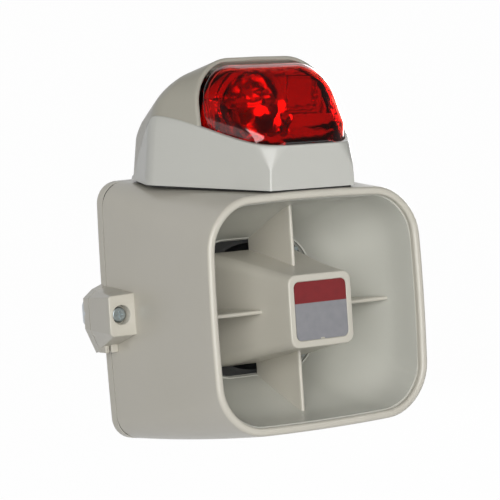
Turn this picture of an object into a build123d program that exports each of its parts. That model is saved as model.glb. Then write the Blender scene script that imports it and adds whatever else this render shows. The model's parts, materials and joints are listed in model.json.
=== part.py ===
from build123d import *
import math
import os

os.makedirs("parts", exist_ok=True)

# Alarm siren with a strobe, in millimetres. The wall plane is Y = 0 and the horn faces -Y.
# "Level" is the height of a plane above the wall plane, measured towards the front.

# Case
mouth_width = 140.0
mouth_height = 130.0
mouth_corner = 27.0
mouth_bow = 2.0
case_depth = 124.0
back_width = 143.5
back_top = 78.4
back_bottom = 73.4
back_corner = 12.5
back_bow = 1.3
waist = 0.6
belly = 1.5
case_wall = 2.5
lip_width = 4.5
lip_depth = 4.0
lip_round = 2.0
case_section_shares = (0.0, 0.35, 0.75, 1.0)

# Back cover, wall plate and their fixings
plate_thick = 2.0
plate_inset = 6.5
cover_recess = 4.0
cover_recess_inset = 9.0
cover_floor = 2.5
cover_rim = 8.0
cover_round = 3.0
gasket_thick = 0.8
gasket_inset = 0.4
spigot_height = 3.0
spigot_wall = 1.5
fit_gap = 0.2
wall_hole_spacing = 80.0
wall_hole_radius = 2.75
post_x = 56.0
post_top = 62.5
post_bottom = -55.5
post_radius = 4.2
post_height = 28.0
post_bore_depth = 14.0
rib_start = 8.0
rib_thick = 2.0
self_tap_gap = 0.04
hole_gap = 0.25

# Side lugs
lug_reach = 86.8
lug_root = 64.0
lug_top = 14.0
lug_bottom = -9.6
lug_height = 31.0
lug_foot_top = 20.5
lug_foot_bottom = -21.0
lug_foot_reach = 82.6
lug_chamfer = 3.0
lug_hole_x = 79.0
lug_hole_z = 2.2
lug_counterbore_radius = 5.5
lug_counterbore_depth = 6.0
lug_screw_radius = 2.0
lug_head_radius = 4.4
lug_head_height = 3.0
nut_radius = 3.6
nut_height = 2.5
ear_half_height = 8.0
thread_gap = 0.03

# Horn bell: inner half width, half height, corner radius and bow from the mouth to the throat
bell_wall = 1.7
bell_rear_level = 52.0
bell_flange_radius = 47.0
bell_flange_thick = 3.0
bell_sections = [
    (bell_rear_level, 36.6, 36.6, 33.5, 0.2),
    (60.0, 41.0, 40.4, 32.0, 0.4),
    (76.0, 51.5, 48.6, 29.0, 1.0),
    (99.0, 61.7, 57.2, 25.0, 1.6),
    (case_depth - lip_depth, 65.2, 60.2, 23.0, 1.9),
]

# Reflex horn: outer half width, half height, corner radius and bow
reflex_wall = 2.0
reflex_rear_level = 54.0
reflex_front_level = 123.2
reflex_front_wall = 3.5
reflex_sections = [
    (reflex_rear_level, 30.0, 30.0, 20.0, 0.3),
    (76.0, 26.4, 27.6, 14.0, 0.3),
    (99.0, 22.9, 24.6, 8.0, 0.2),
    (reflex_front_level, 20.4, 19.85, 5.0, 0.1),
]
fin_thick = 2.2
fin_front_level = 99.0
fin_gap = 0.2
label_width = 33.6
label_height = 31.8
label_corner = 3.2
label_thick = 0.8
label_recess = 1.0
notch_width = 3.0
notch_height = 1.6

# Throat horn: flange, bowl and centre tube
throat_gasket_thick = 1.0
throat_flange_thick = 3.0
throat_opening = 36.5
bowl_body_radius = 39.0
bowl_floor_level = 43.5
throat_rear_level = 40.5
throat_tube_root = 14.0
throat_tube_end_level = 106.0
throat_tube_end_radius = 13.5
throat_tube_wall = 1.8
throat_radius = 8.0
throat_screw_circle = 43.2
bowl_flat_radius = 24.0

# Compression driver, from its front to its back
frame_radius = 36.0
frame_height = 6.0
chamber_radius = 24.5
chamber_depth = 3.5
driver_screw_circle = 33.0
surround_clamp = 1.0
surround_web = 0.4
surround_inner = 22.0
motor_radius = 29.5
dome_radius = 21.7
dome_rise = 2.2
dome_thick = 0.4
coil_inner = 19.0
coil_thick = 0.9
coil_length = 5.6
air_gap = 0.6
top_plate_thick = 4.0
magnet_thick = 12.0
magnet_inner = 22.5
yoke_thick = 4.5
vent_radius = 4.0
terminal_width = 4.8
terminal_thick = 0.8
terminal_length = 8.0
terminal_spread = 14.0

# Machine screws inside
small_screw_radius = 1.5
small_head_radius = 2.7
small_head_height = 2.0
case_screw_length = 10.0
driver_screw_depth = 5.0
drive_width = 0.9
drive_depth = 1.0
head_round_share = 1 / 3

# Siren board on the back cover
standoff_height = 5.5
standoff_radius = 3.0
board_width = 100.0
board_height = 26.0
board_z = -51.0
board_thick = 1.6
board_hole_inset = 4.0
board_screw_radius = 1.2
board_head_radius = 2.2
capacitor_radius = 6.0
capacitor_height = 16.0
capacitor_round = 1.0
capacitor_pitch = 14.0
chip_width = 16.0
chip_depth = 6.0
chip_height = 3.0
transistor_width = 10.0
transistor_thick = 4.5
transistor_height = 15.0
transistor_pitch = 12.0
transistor_x = 31.0
sink_width = 24.0
sink_thick = 2.0
sink_height = 19.0
block_width = 24.0
block_depth = 10.0
block_height = 10.0
block_x = -27.0
block_ways = 4
block_screw_radius = 1.8
block_screw_height = 4.0

# Tamper switch on the back cover
tamper_x = 45.0
tamper_z = 54.0
tamper_width = 14.0
tamper_body_height = 12.0
tamper_floor = 2.0
tamper_bore = 4.0
stem_radius = 2.0
stem_gap = 0.08
stem_tip_level = 0.5
collar_radius = 3.6
collar_thick = 1.5
collar_lift = 0.3
spring_radius = 2.9
spring_wire = 0.35
spring_turns = 5
plate_tamper_hole = 4.0
cover_tamper_hole = 2.5

# Cable inlet in the back cover
inlet_x = -45.0
inlet_z = 54.0
inlet_radius = 6.0
grommet_flange_radius = 8.0
grommet_flange_thick = 1.5
grommet_bore = 3.0
plate_inlet_radius = 9.5

# Strobe: plan corners (half width, distance behind the mouth plane) on its tilted base plane
strobe_front_half = 27.4
strobe_front = 1.0
strobe_side_half = 65.0
strobe_side = 70.0
strobe_rear_half = 53.4
strobe_rear_set = 11.0
strobe_front_round_low = 1.5
strobe_front_round_high = 21.0
front_round_start = 8.0
round_share = 0.95
strobe_side_round = 12.0
strobe_rear_round = 14.0
skirt_lean = 4.0
upper_lean = 16.0
lean_change = 34.0
strobe_height = 70.5
strobe_gasket_thick = 1.0
strobe_gasket_inset = 2.0
skirt_wall = 2.2
skirt_front_height = 24.8
skirt_back = 72.0
skirt_back_height = 39.5
skirt_foot_set = 11.0
base_floor = 2.0
hood_inset = 0.8
hood_wall = 2.2
hood_mouth_shift = 17.6
hood_gap = 0.3
hood_shoulder = 82.5
hood_shoulder_height = 47.5
hood_tail_set = 7.0
hood_tail_height = 25.0
rim_low = 46.5
rim_high = 58.0
lens_inset = 2.7
lens_wall = 2.4
lens_gap = 0.4
lens_foot_height = 18.0
lens_brow = 43.0
lens_brow_height = 66.5
lens_top_height = 69.4
ledge_depth = 6.0
ledge_thick = 2.0
lens_gasket_thick = 1.0
strobe_boss_radius = 3.6
strobe_boss_height = 6.0
strobe_screw_x = 30.0
strobe_screw_front = 52.0
strobe_screw_rear_set = 19.0
case_boss_radius = 4.6
case_boss_depth = 4.0
wire_hole_radius = 5.0
wire_hole_s = 73.0

# Inside the strobe
reflector_level = 50.0
reflector_wall = 1.5
reflector_foot = 27.0
reflector_half = 40.0
reflector_top_set = 4.4
reflector_gap = 1.0
bowl_x = -9.0
bowl_top_margin = 2.0
bowl_depth = 13.0
shelf_front = 26.0
leg_radius = 3.0
leg_x = 24.0
leg_s = 38.0
tube_radius = 2.4
tube_half = 9.5
tube_depth = 3.0
cap_radius = 3.0
cap_length = 3.5
lead_radius = 0.6
lead_length = 12.0
strobe_board_width = 50.0
strobe_board_depth = 34.0
strobe_board_s = 77.0
strobe_board_lift = 3.0
strobe_post_radius = 2.0
strobe_post_inset = 4.0
strobe_cap_radius = 8.0
strobe_cap_length = 26.0
strobe_cap_s = 84.0
coil_radius = 4.0
coil_height = 10.0
coil_x = -14.0
coil_s = 66.5
seat_gap = 0.1
lead_hole_gap = 0.3

# Levels that follow from the values above
floor_rear_level = plate_thick + cover_recess
floor_level = floor_rear_level + cover_floor
rim_level = plate_thick + cover_rim
housing_rear_level = rim_level + gasket_thick
spigot_level = rim_level + spigot_height
lug_front_level = housing_rear_level + lug_height - gasket_thick
bell_front_level = case_depth - lip_depth
strobe_rear = case_depth - strobe_rear_set
skirt_foot = strobe_rear - skirt_foot_set
hood_tail = strobe_rear - hood_tail_set
reflector_top = lens_top_height - reflector_top_set
bowl_radius = (reflector_top - reflector_foot - bowl_top_margin) / 2
bowl_height = reflector_foot + bowl_radius
strobe_screw_rear = strobe_rear - strobe_screw_rear_set
throat_flange_level = bell_rear_level - throat_gasket_thick
frame_rear_level = throat_rear_level - frame_height
top_plate_level = frame_rear_level - surround_clamp
magnet_level = top_plate_level - top_plate_thick
yoke_level = magnet_level - magnet_thick
pole_radius = coil_inner - air_gap
dome_level = frame_rear_level - surround_web
sink_z = board_z - board_height / 2 + sink_thick / 2
lug_holes = [(-lug_hole_x, lug_hole_z), (lug_hole_x, lug_hole_z)]
posts = [(x, z) for x in (-post_x, post_x) for z in (post_bottom, post_top)]
board_holes = [
    (x * (board_width / 2 - board_hole_inset), board_z + z * (board_height / 2 - board_hole_inset))
    for x in (-1, 1)
    for z in (-1, 1)
]
board_level = floor_level + standoff_height
board_front_level = board_level + board_thick
lug_screw_length = lug_front_level - lug_counterbore_depth - stem_tip_level
driver_screw_length = frame_height + driver_screw_depth - fit_gap
throat_screw_length = throat_flange_thick + throat_gasket_thick + bell_flange_thick - fit_gap
strobe_screw_length = case_boss_depth + strobe_gasket_thick + base_floor + strobe_boss_height / 2
top_slope = math.degrees(math.atan2(back_top - mouth_height / 2, case_depth))


def level(height):
    # A plane parallel to the wall, seen from the front: x to the right, y up.
    return Plane.XZ.offset(height)


def facing_wall(height):
    # The same plane seen from behind: x to the left, y up, its normal towards the wall.
    return Plane((0, -height, 0), x_dir=(-1, 0, 0), z_dir=(0, 1, 0))


def blend(rear, front, share):
    return rear + (front - rear) * share


def bowed_outline(half_width, top, bottom, corner, bow):
    # Four slightly bowed sides with round corners, like an old picture tube.
    side = half_width - bow
    high = top - bow
    low = bottom + bow
    middle = (high + low) / 2
    with BuildSketch() as outline:
        with BuildLine():
            ThreePointArc((-side, high), (0, top), (side, high))
            ThreePointArc((side, high), (half_width, middle), (side, low))
            ThreePointArc((side, low), (0, bottom), (-side, low))
            ThreePointArc((-side, low), (-half_width, middle), (-side, high))
        make_face()
        fillet(outline.vertices(), corner)
    return outline.sketch


def case_outline(height, inset=0.0):
    share = height / case_depth
    middle = 4 * share * (1 - share)
    return bowed_outline(
        blend(back_width, mouth_width, share) / 2 - waist * middle - inset,
        blend(back_top, mouth_height / 2, share) - inset,
        inset - blend(back_bottom, mouth_height / 2, share) - belly * middle,
        blend(back_corner, mouth_corner, share) - inset,
        blend(back_bow, mouth_bow, share),
    )


def case_levels(low, high):
    return [blend(low, high, share) for share in case_section_shares]


def section_outline(section, growth=0.0):
    height, half_width, half_height, corner, bow = section
    return bowed_outline(
        half_width + growth, half_height + growth, -half_height - growth, corner + growth, bow
    )


def lug_outline(share, hand):
    # The lug's section: narrow and square at its front face, tall and sloped at its foot.
    reach = blend(lug_foot_reach, lug_reach, share)
    top = blend(lug_foot_top, lug_top, share)
    bottom = blend(lug_foot_bottom, lug_bottom, share)
    shoulder = blend(lug_foot_top - lug_top + lug_chamfer, lug_chamfer / 2, share)
    hip = blend(lug_bottom - lug_foot_bottom + lug_chamfer, lug_chamfer / 2, share)
    cut = blend(lug_chamfer * 2, lug_chamfer / 2, share)
    with BuildSketch() as outline:
        with BuildLine():
            Polyline(
                (hand * lug_root, top),
                (hand * (reach - cut), top - shoulder / 2),
                (hand * reach, top - shoulder),
                (hand * reach, bottom + hip),
                (hand * (reach - cut), bottom),
                (hand * lug_root, bottom),
                close=True,
            )
        make_face()
    return outline.sketch


def pan_screw(radius, head_radius, head_height, length):
    # A pan-head screw with a cross drive: seat of the head at the origin, shank along -Z.
    with BuildPart() as screw:
        with BuildSketch():
            Circle(head_radius)
        extrude(amount=head_height)
        fillet(screw.edges().group_by(Axis.Z)[-1], head_height * head_round_share)
        with BuildSketch():
            Circle(radius)
        extrude(amount=-length)
        with BuildSketch(Plane.XY.offset(head_height)):
            Rectangle(head_radius, drive_width)
            Rectangle(drive_width, head_radius)
        extrude(amount=-drive_depth, mode=Mode.SUBTRACT)
    return screw.part


def save(piece, name):
    piece.label = name
    export_step(piece, f"parts/{name}.step")


# The strobe's base plane lies on the sloped top of the case: x to the right, y to the rear.
slope = math.radians(top_slope)
strobe_plane = Plane(
    origin=(0, -case_depth, mouth_height / 2),
    x_dir=(1, 0, 0),
    z_dir=(0, -math.sin(slope), math.cos(slope)),
)
# Its middle plane: x to the rear, y up.
strobe_side_plane = Plane(
    origin=strobe_plane.origin, x_dir=strobe_plane.y_dir, z_dir=strobe_plane.x_dir
)
strobe_under_plane = Plane(
    origin=strobe_plane.offset(-case_boss_depth).origin,
    x_dir=(-1, 0, 0),
    z_dir=-strobe_plane.z_dir,
)
strobe_floor = strobe_gasket_thick + base_floor
overshoot = 1.0
foot = (Align.CENTER, Align.CENTER, Align.MIN)


def strobe_outline(height, inset=0.0):
    # Six-sided plan, narrow at the front; the front corners grow rounder up the skirt. A round
    # is no larger than its wall allows.
    lean = math.tan(math.radians(skirt_lean)) * min(height, lean_change)
    lean += math.tan(math.radians(upper_lean)) * max(height - lean_change, 0)
    grown = (height - front_round_start) / (lean_change - front_round_start)
    front_round = blend(strobe_front_round_low, strobe_front_round_high, min(max(grown, 0), 1))
    turn = math.atan2(strobe_side - strobe_front, strobe_side_half - strobe_front_half)
    rear_turn = math.atan2(strobe_side_half - strobe_rear_half, strobe_rear - strobe_side)
    with BuildSketch() as outline:
        with BuildLine():
            Polyline(
                (-strobe_front_half, strobe_front),
                (strobe_front_half, strobe_front),
                (strobe_side_half, strobe_side),
                (strobe_rear_half, strobe_rear),
                (-strobe_rear_half, strobe_rear),
                (-strobe_side_half, strobe_side),
                close=True,
            )
        make_face()
        offset(amount=-(lean + inset), kind=Kind.INTERSECTION)
        front_edge, _, _, rear_wall = outline.edges().sort_by(Axis.Y)[:4]
        largest_round = round_share * front_edge.length / 2 / math.tan(turn / 2)
        rear_space = strobe_rear_round * math.tan((math.pi / 2 - rear_turn) / 2)
        rear_space += strobe_side_round * math.tan((math.pi / 2 - turn + rear_turn) / 2)
        fit = min(round_share * rear_wall.length / rear_space, 1)
        fillet(outline.vertices().sort_by(Axis.Y)[:2], min(front_round, largest_round))
        fillet(outline.vertices().sort_by(Axis.Y)[-2:], fit * strobe_rear_round)
        fillet(outline.vertices().sort_by(Axis.Y)[4:6], fit * strobe_side_round)
    return outline.sketch


def strobe_form(inset, low, high):
    # The strobe's leaning body between two heights, closed.
    heights = [low, high]
    if low < lean_change < high:
        heights = [low, lean_change, high]
    with BuildPart() as form:
        for height in heights:
            with BuildSketch(strobe_plane.offset(height)):
                add(strobe_outline(height, inset))
        loft(ruled=True)
    return form.part


def strobe_cross(distance):
    # Upright plane of the strobe, seen from the front: x to the right, y up.
    return Plane(
        origin=strobe_plane.from_local_coords((0, distance, 0)),
        x_dir=strobe_plane.x_dir,
        z_dir=-strobe_plane.y_dir,
    )


def across_strobe(profile):
    # A side profile of the strobe carried right across it.
    with BuildPart() as prism:
        with BuildSketch(strobe_side_plane):
            add(profile)
        extrude(amount=strobe_side_half + overshoot, both=True)
    return prism.part


def rim_at(height):
    # The slanted line where lens and hood meet.
    share = (height - skirt_back_height) / (strobe_height - skirt_back_height)
    return blend(rim_low, rim_high, share)


def skirt_profile(growth=0.0):
    # The skirt's side: its top edge swells from the front up to the back, then falls to the foot.
    front_top = skirt_front_height + growth
    back_top_edge = (skirt_back + growth, skirt_back_height + growth)
    with BuildSketch() as profile:
        with BuildLine():
            Polyline(
                (0, front_top),
                (-overshoot, front_top),
                (-overshoot, strobe_gasket_thick),
                (strobe_rear + overshoot, strobe_gasket_thick),
                (strobe_rear + overshoot, strobe_floor + growth),
                (skirt_foot + growth, strobe_floor + growth),
                back_top_edge,
            )
            Spline(back_top_edge, (0, front_top), tangents=((-1, 0), (-1, 0)))
        make_face()
    return profile.sketch


def hood_profile(drop, front_shift=0.0):
    with BuildSketch() as profile:
        with BuildLine():
            Polyline(
                (rim_at(strobe_height) - front_shift, strobe_height - drop),
                (rim_at(strobe_floor) - front_shift, strobe_floor),
                (strobe_rear + overshoot, strobe_floor),
                (hood_tail - drop, hood_tail_height),
            )
            ThreePointArc(
                (hood_tail - drop, hood_tail_height),
                (hood_shoulder - drop / 2, hood_shoulder_height - drop),
                (rim_at(strobe_height) - front_shift, strobe_height - drop),
            )
        make_face()
    return profile.sketch


def lens_profile(drop, rear_shift=0.0):
    with BuildSketch() as profile:
        with BuildLine():
            Polyline(
                (-overshoot, lens_foot_height - drop / 2),
                (-overshoot, skirt_front_height),
                (strobe_front, skirt_front_height),
                (lens_brow + drop / 2, lens_brow_height - drop),
                (rim_at(lens_top_height) - lens_gap + rear_shift, lens_top_height - drop),
                (rim_at(lens_foot_height) - lens_gap + rear_shift, lens_foot_height - drop / 2),
                close=True,
            )
        make_face()
    return profile.sketch


def lug_form(hand, low, high):
    with BuildPart() as form:
        for height in (low, high):
            with BuildSketch(level(height)):
                add(lug_outline((height - plate_thick) / (lug_front_level - plate_thick), hand))
        loft(ruled=True)
    return form.part


def behind_rim(height, gap):
    # Everything behind the line where lens and hood meet, to be cut away.
    with BuildSketch() as rear:
        with Locations((0, rim_at(height) - gap)):
            Rectangle(
                2 * strobe_side_half, strobe_rear, align=(Align.CENTER, Align.MIN)
            )
    return rear.sketch


def strobe_form_with(profile, inset):
    with BuildPart() as form:
        add(across_strobe(profile))
        add(strobe_form(inset, strobe_gasket_thick, strobe_height + lens_wall), mode=Mode.INTERSECT)
    return form.part


def lens_ledge():
    # Shelf inside the skirt that the lens gasket lies on.
    shelf_level = lens_foot_height - lens_gasket_thick - ledge_thick
    with BuildPart() as ledge:
        with BuildSketch(strobe_plane.offset(shelf_level)):
            add(strobe_outline(shelf_level, skirt_wall / 2))
            add(strobe_outline(shelf_level, skirt_wall + ledge_depth), mode=Mode.SUBTRACT)
            add(behind_rim(shelf_level, 0), mode=Mode.SUBTRACT)
        extrude(amount=ledge_thick)
    return ledge.part


# Case front: bowed shell, bright rim round the mouth, screw posts and two side lugs.
lead_spots = [
    (bowl_x + hand * (tube_half + cap_length / 2), bowl_height) for hand in (-1, 1)
]
strobe_screw_spots = [
    (x, s)
    for x in (-strobe_screw_x, strobe_screw_x)
    for s in (strobe_screw_front, strobe_screw_rear)
]
with BuildPart() as front_housing:
    for height in case_levels(housing_rear_level, case_depth):
        with BuildSketch(level(height)):
            add(case_outline(height))
    loft()
    # Lugs
    for hand in (-1, 1):
        add(lug_form(hand, housing_rear_level, lug_front_level))
    with BuildSketch(level(lug_front_level)):
        with Locations(lug_holes):
            Circle(lug_counterbore_radius)
    extrude(amount=-lug_counterbore_depth, mode=Mode.SUBTRACT)
    with BuildSketch(level(lug_front_level)):
        with Locations(lug_holes):
            Circle(lug_screw_radius + hole_gap)
    extrude(amount=-lug_height, mode=Mode.SUBTRACT)
    for height in case_levels(housing_rear_level, bell_front_level):
        with BuildSketch(level(height)):
            add(case_outline(height, case_wall))
    loft(mode=Mode.SUBTRACT)
    with BuildSketch(level(bell_front_level)):
        add(case_outline(case_depth, lip_width))
    extrude(amount=lip_depth, mode=Mode.SUBTRACT)
    fillet(front_housing.edges().group_by(Axis.Y)[0], lip_round)
    # Flat pad that carries the strobe
    with BuildSketch(strobe_plane):
        add(strobe_outline(0, strobe_gasket_inset))
    extrude(amount=-case_wall)
    with Locations(strobe_plane):
        with Locations(strobe_screw_spots):
            Cylinder(case_boss_radius, case_boss_depth, align=(Align.CENTER, Align.CENTER, Align.MAX))
            Cylinder(
                small_screw_radius + hole_gap, 2 * case_boss_depth + overshoot, mode=Mode.SUBTRACT
            )
    with BuildSketch(strobe_plane):
        with Locations((0, wire_hole_s)):
            Circle(wire_hole_radius)
    extrude(amount=-case_boss_depth - case_wall, mode=Mode.SUBTRACT)
    # Screw posts with ribs to the side walls
    with BuildSketch(level(floor_level)):
        with Locations(posts):
            Circle(post_radius)
    extrude(amount=post_height)
    with BuildSketch(level(floor_level + rib_start)):
        for x, z in posts:
            with Locations(((x + math.copysign(back_width / 2 - case_wall, x)) / 2, z)):
                Rectangle(back_width / 2 - case_wall - post_x + overshoot, rib_thick)
    extrude(amount=post_height - rib_start)
    with BuildSketch(level(floor_level)):
        with Locations(posts):
            Circle(small_screw_radius + self_tap_gap)
    extrude(amount=post_bore_depth, mode=Mode.SUBTRACT)
save(front_housing.part, "front_housing")

# Back cover: tray with a screw-head recess behind, spigot, ears, board standoffs, switch seat
with BuildPart() as back_cover:
    for height in (plate_thick, rim_level):
        with BuildSketch(level(height)):
            add(case_outline(height))
    loft(ruled=True)
    fillet(back_cover.edges().group_by(Axis.Y)[-1], cover_round)
    with BuildSketch(level(plate_thick)):
        add(case_outline(plate_thick, cover_recess_inset))
    extrude(amount=cover_recess, mode=Mode.SUBTRACT)
    with BuildSketch(level(floor_level)):
        add(case_outline(floor_level, case_wall))
    extrude(amount=case_wall, mode=Mode.SUBTRACT)
    with BuildSketch(level(floor_level)):
        add(case_outline(spigot_level, case_wall + fit_gap))
        add(case_outline(spigot_level, case_wall + fit_gap + spigot_wall), mode=Mode.SUBTRACT)
    extrude(amount=spigot_level - floor_level)
    for hand in (-1, 1):
        add(lug_form(hand, plate_thick, rim_level))
    with BuildSketch(level(floor_level)):
        add(case_outline(floor_level, case_wall + fit_gap + spigot_wall))
    extrude(amount=case_wall, mode=Mode.SUBTRACT)
    with BuildSketch(level(plate_thick)):
        with Locations(lug_holes):
            Circle(lug_screw_radius + hole_gap)
    extrude(amount=cover_rim + gasket_thick, mode=Mode.SUBTRACT)
    with BuildSketch(level(plate_thick)):
        with Locations(lug_holes):
            Circle(nut_radius + fit_gap)
    extrude(amount=nut_height + fit_gap, mode=Mode.SUBTRACT)
    with BuildSketch(level(floor_rear_level)):
        with Locations(posts):
            Circle(small_screw_radius + hole_gap)
        with Locations((inlet_x, inlet_z)):
            Circle(inlet_radius)
        with Locations((tamper_x, tamper_z)):
            Circle(cover_tamper_hole)
    extrude(amount=cover_floor, mode=Mode.SUBTRACT)
    with BuildSketch(level(floor_level)):
        with Locations(board_holes):
            Circle(standoff_radius)
    extrude(amount=standoff_height)
    with BuildSketch(level(board_level)):
        with Locations(board_holes):
            Circle(board_screw_radius + self_tap_gap)
    extrude(amount=-standoff_height, mode=Mode.SUBTRACT)
save(back_cover.part, "back_cover")

# Flat seal between the case and its back cover
with BuildPart() as case_gasket:
    with BuildSketch(level(rim_level)):
        add(case_outline(rim_level, gasket_inset))
        add(case_outline(rim_level, case_wall - gasket_inset), mode=Mode.SUBTRACT)
    extrude(amount=gasket_thick)
save(case_gasket.part, "case_gasket")

# Steel wall plate with two ears, four wall holes and openings for cable and tamper stem
with BuildPart() as wall_plate:
    with BuildSketch(level(0)):
        add(case_outline(plate_thick, plate_inset))
        with Locations((0, lug_hole_z)):
            RectangleRounded(2 * lug_foot_reach, 2 * ear_half_height, ear_half_height / 2)
        with GridLocations(wall_hole_spacing, wall_hole_spacing, 2, 2):
            Circle(wall_hole_radius, mode=Mode.SUBTRACT)
        with Locations(lug_holes):
            Circle(lug_screw_radius + hole_gap, mode=Mode.SUBTRACT)
        with Locations((inlet_x, inlet_z)):
            Circle(plate_inlet_radius, mode=Mode.SUBTRACT)
        with Locations((tamper_x, tamper_z)):
            Circle(plate_tamper_hole, mode=Mode.SUBTRACT)
    extrude(amount=plate_thick)
save(wall_plate.part, "wall_plate")

# Clinch nuts on the plate's ears
with BuildPart() as clinch_nuts:
    with BuildSketch(level(plate_thick)):
        with Locations(lug_holes):
            Circle(nut_radius)
            Circle(lug_screw_radius + thread_gap, mode=Mode.SUBTRACT)
    extrude(amount=nut_height)
save(clinch_nuts.part, "clinch_nuts")

# Screws in the lugs, heads sunk below the lug faces
with BuildPart() as lug_screws:
    with Locations(level(lug_front_level - lug_counterbore_depth)):
        with Locations(lug_holes):
            add(pan_screw(lug_screw_radius, lug_head_radius, lug_head_height, lug_screw_length))
save(lug_screws.part, "lug_screws")

# Screws that hold the back cover to the case posts
with BuildPart() as case_screws:
    with Locations(facing_wall(floor_rear_level)):
        with Locations(posts):
            add(pan_screw(small_screw_radius, small_head_radius, small_head_height, case_screw_length))
save(case_screws.part, "case_screws")

# Rubber grommet in the cable inlet
with BuildPart() as cable_grommet:
    with BuildSketch(level(floor_rear_level - grommet_flange_thick)):
        with Locations((inlet_x, inlet_z)):
            Circle(grommet_flange_radius)
    extrude(amount=grommet_flange_thick)
    with BuildSketch(level(floor_rear_level)):
        with Locations((inlet_x, inlet_z)):
            Circle(inlet_radius - thread_gap)
    extrude(amount=cover_floor)
    with BuildSketch(level(floor_level)):
        with Locations((inlet_x, inlet_z)):
            Circle(grommet_flange_radius)
    extrude(amount=grommet_flange_thick)
    with BuildSketch(level(floor_level + grommet_flange_thick)):
        with Locations((inlet_x, inlet_z)):
            Circle(grommet_bore)
    extrude(amount=-cover_floor - 2 * grommet_flange_thick, mode=Mode.SUBTRACT)
save(cable_grommet.part, "cable_grommet")

# Bell: flared wall from the throat flange to the rim of the case
with BuildPart() as horn_bell:
    for section in bell_sections:
        with BuildSketch(level(section[0])):
            add(section_outline(section, bell_wall))
    loft()
    with BuildSketch(level(bell_rear_level)):
        Circle(bell_flange_radius)
    extrude(amount=bell_flange_thick)
    for section in bell_sections:
        with BuildSketch(level(section[0])):
            add(section_outline(section))
    loft(mode=Mode.SUBTRACT)
    with BuildSketch(level(bell_rear_level)):
        with PolarLocations(throat_screw_circle, 4, start_angle=45):
            Circle(small_screw_radius + self_tap_gap)
    extrude(amount=bell_flange_thick, mode=Mode.SUBTRACT)
save(horn_bell.part, "horn_bell")

# Reflex horn: square centre body, closed in front and hollow behind, with four fins
with BuildPart() as reflex_horn:
    with BuildSketch(level(reflex_rear_level)):
        Rectangle(fin_thick, mouth_height)
        Rectangle(mouth_width, fin_thick)
    extrude(amount=fin_front_level - reflex_rear_level)
    with BuildPart(mode=Mode.INTERSECT):
        for section in bell_sections:
            with BuildSketch(level(section[0])):
                add(section_outline(section, -fin_gap))
        loft()
    for section in reflex_sections:
        with BuildSketch(level(section[0])):
            add(section_outline(section))
    loft()
    for section in reflex_sections:
        with BuildSketch(level(section[0] - reflex_front_wall * (section == reflex_sections[-1]))):
            add(section_outline(section, -reflex_wall))
    loft(mode=Mode.SUBTRACT)
    with BuildSketch(level(reflex_front_level)):
        RectangleRounded(label_width + 2 * fit_gap, label_height + 2 * fit_gap, label_corner)
        with Locations((0, -label_height / 2)):
            Rectangle(notch_width, 2 * notch_height)
    extrude(amount=-label_recess, mode=Mode.SUBTRACT)
save(reflex_horn.part, "reflex_horn")

# Bare label plate in the front recess
with BuildPart() as label_plate:
    with BuildSketch(level(reflex_front_level - label_recess)):
        RectangleRounded(label_width, label_height, label_corner)
        with Locations((0, -label_height / 2)):
            Rectangle(notch_width, notch_height, mode=Mode.SUBTRACT)
    extrude(amount=label_thick)
save(label_plate.part, "label_plate")

# Gasket between bell and throat horn
with BuildPart() as throat_gasket:
    with BuildSketch(level(throat_flange_level)):
        Circle(bell_flange_radius)
        Circle(bell_sections[0][1] + bell_wall + fit_gap, mode=Mode.SUBTRACT)
        with PolarLocations(throat_screw_circle, 4, start_angle=45):
            Circle(small_screw_radius + hole_gap, mode=Mode.SUBTRACT)
    extrude(amount=throat_gasket_thick)
save(throat_gasket.part, "throat_gasket")

# Throat horn: dish that turns the sound forward, with the tube that feeds the reflex body
with BuildPart() as throat_horn:
    with BuildSketch(Plane.XY):
        with BuildLine():
            Polyline(
                (throat_opening, -throat_flange_level),
                (bell_flange_radius, -throat_flange_level),
                (bell_flange_radius, throat_flange_thick - throat_flange_level),
                (bowl_body_radius, throat_flange_thick - throat_flange_level),
                (bowl_body_radius, -throat_rear_level),
                (throat_radius, -throat_rear_level),
                (throat_tube_end_radius - throat_tube_wall, -throat_tube_end_level),
                (throat_tube_end_radius, -throat_tube_end_level),
                (throat_tube_root, -bowl_floor_level),
                (bowl_flat_radius, -bowl_floor_level),
            )
            TangentArc(
                (bowl_flat_radius, -bowl_floor_level),
                (throat_opening, -throat_flange_level),
                tangent=(1, 0),
            )
        make_face()
    revolve(axis=Axis.Y)
    with BuildSketch(level(throat_flange_level)):
        with PolarLocations(throat_screw_circle, 4, start_angle=45):
            Circle(small_screw_radius + hole_gap)
    extrude(amount=-throat_flange_thick, mode=Mode.SUBTRACT)
    with BuildSketch(level(throat_rear_level)):
        with PolarLocations(driver_screw_circle, 4, start_angle=45):
            Circle(small_screw_radius + self_tap_gap)
    extrude(amount=driver_screw_depth, mode=Mode.SUBTRACT)
save(throat_horn.part, "throat_horn")

# Screws from the throat horn into the bell's flange
with BuildPart() as throat_screws:
    with Locations(facing_wall(throat_flange_level - throat_flange_thick)):
        with PolarLocations(throat_screw_circle, 4, start_angle=45):
            add(pan_screw(small_screw_radius, small_head_radius, small_head_height, throat_screw_length))
save(throat_screws.part, "throat_screws")

# Frame with the compression chamber and the throat hole
with BuildPart() as driver_frame:
    with BuildSketch(level(frame_rear_level)):
        Circle(frame_radius)
        with PolarLocations(driver_screw_circle, 4, start_angle=45):
            Circle(small_screw_radius + hole_gap, mode=Mode.SUBTRACT)
    extrude(amount=frame_height)
    with BuildSketch(level(frame_rear_level)):
        Circle(chamber_radius)
    extrude(amount=chamber_depth, mode=Mode.SUBTRACT)
    with BuildSketch(level(frame_rear_level)):
        Circle(throat_radius)
    extrude(amount=frame_height, mode=Mode.SUBTRACT)
save(driver_frame.part, "driver_frame")

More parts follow.
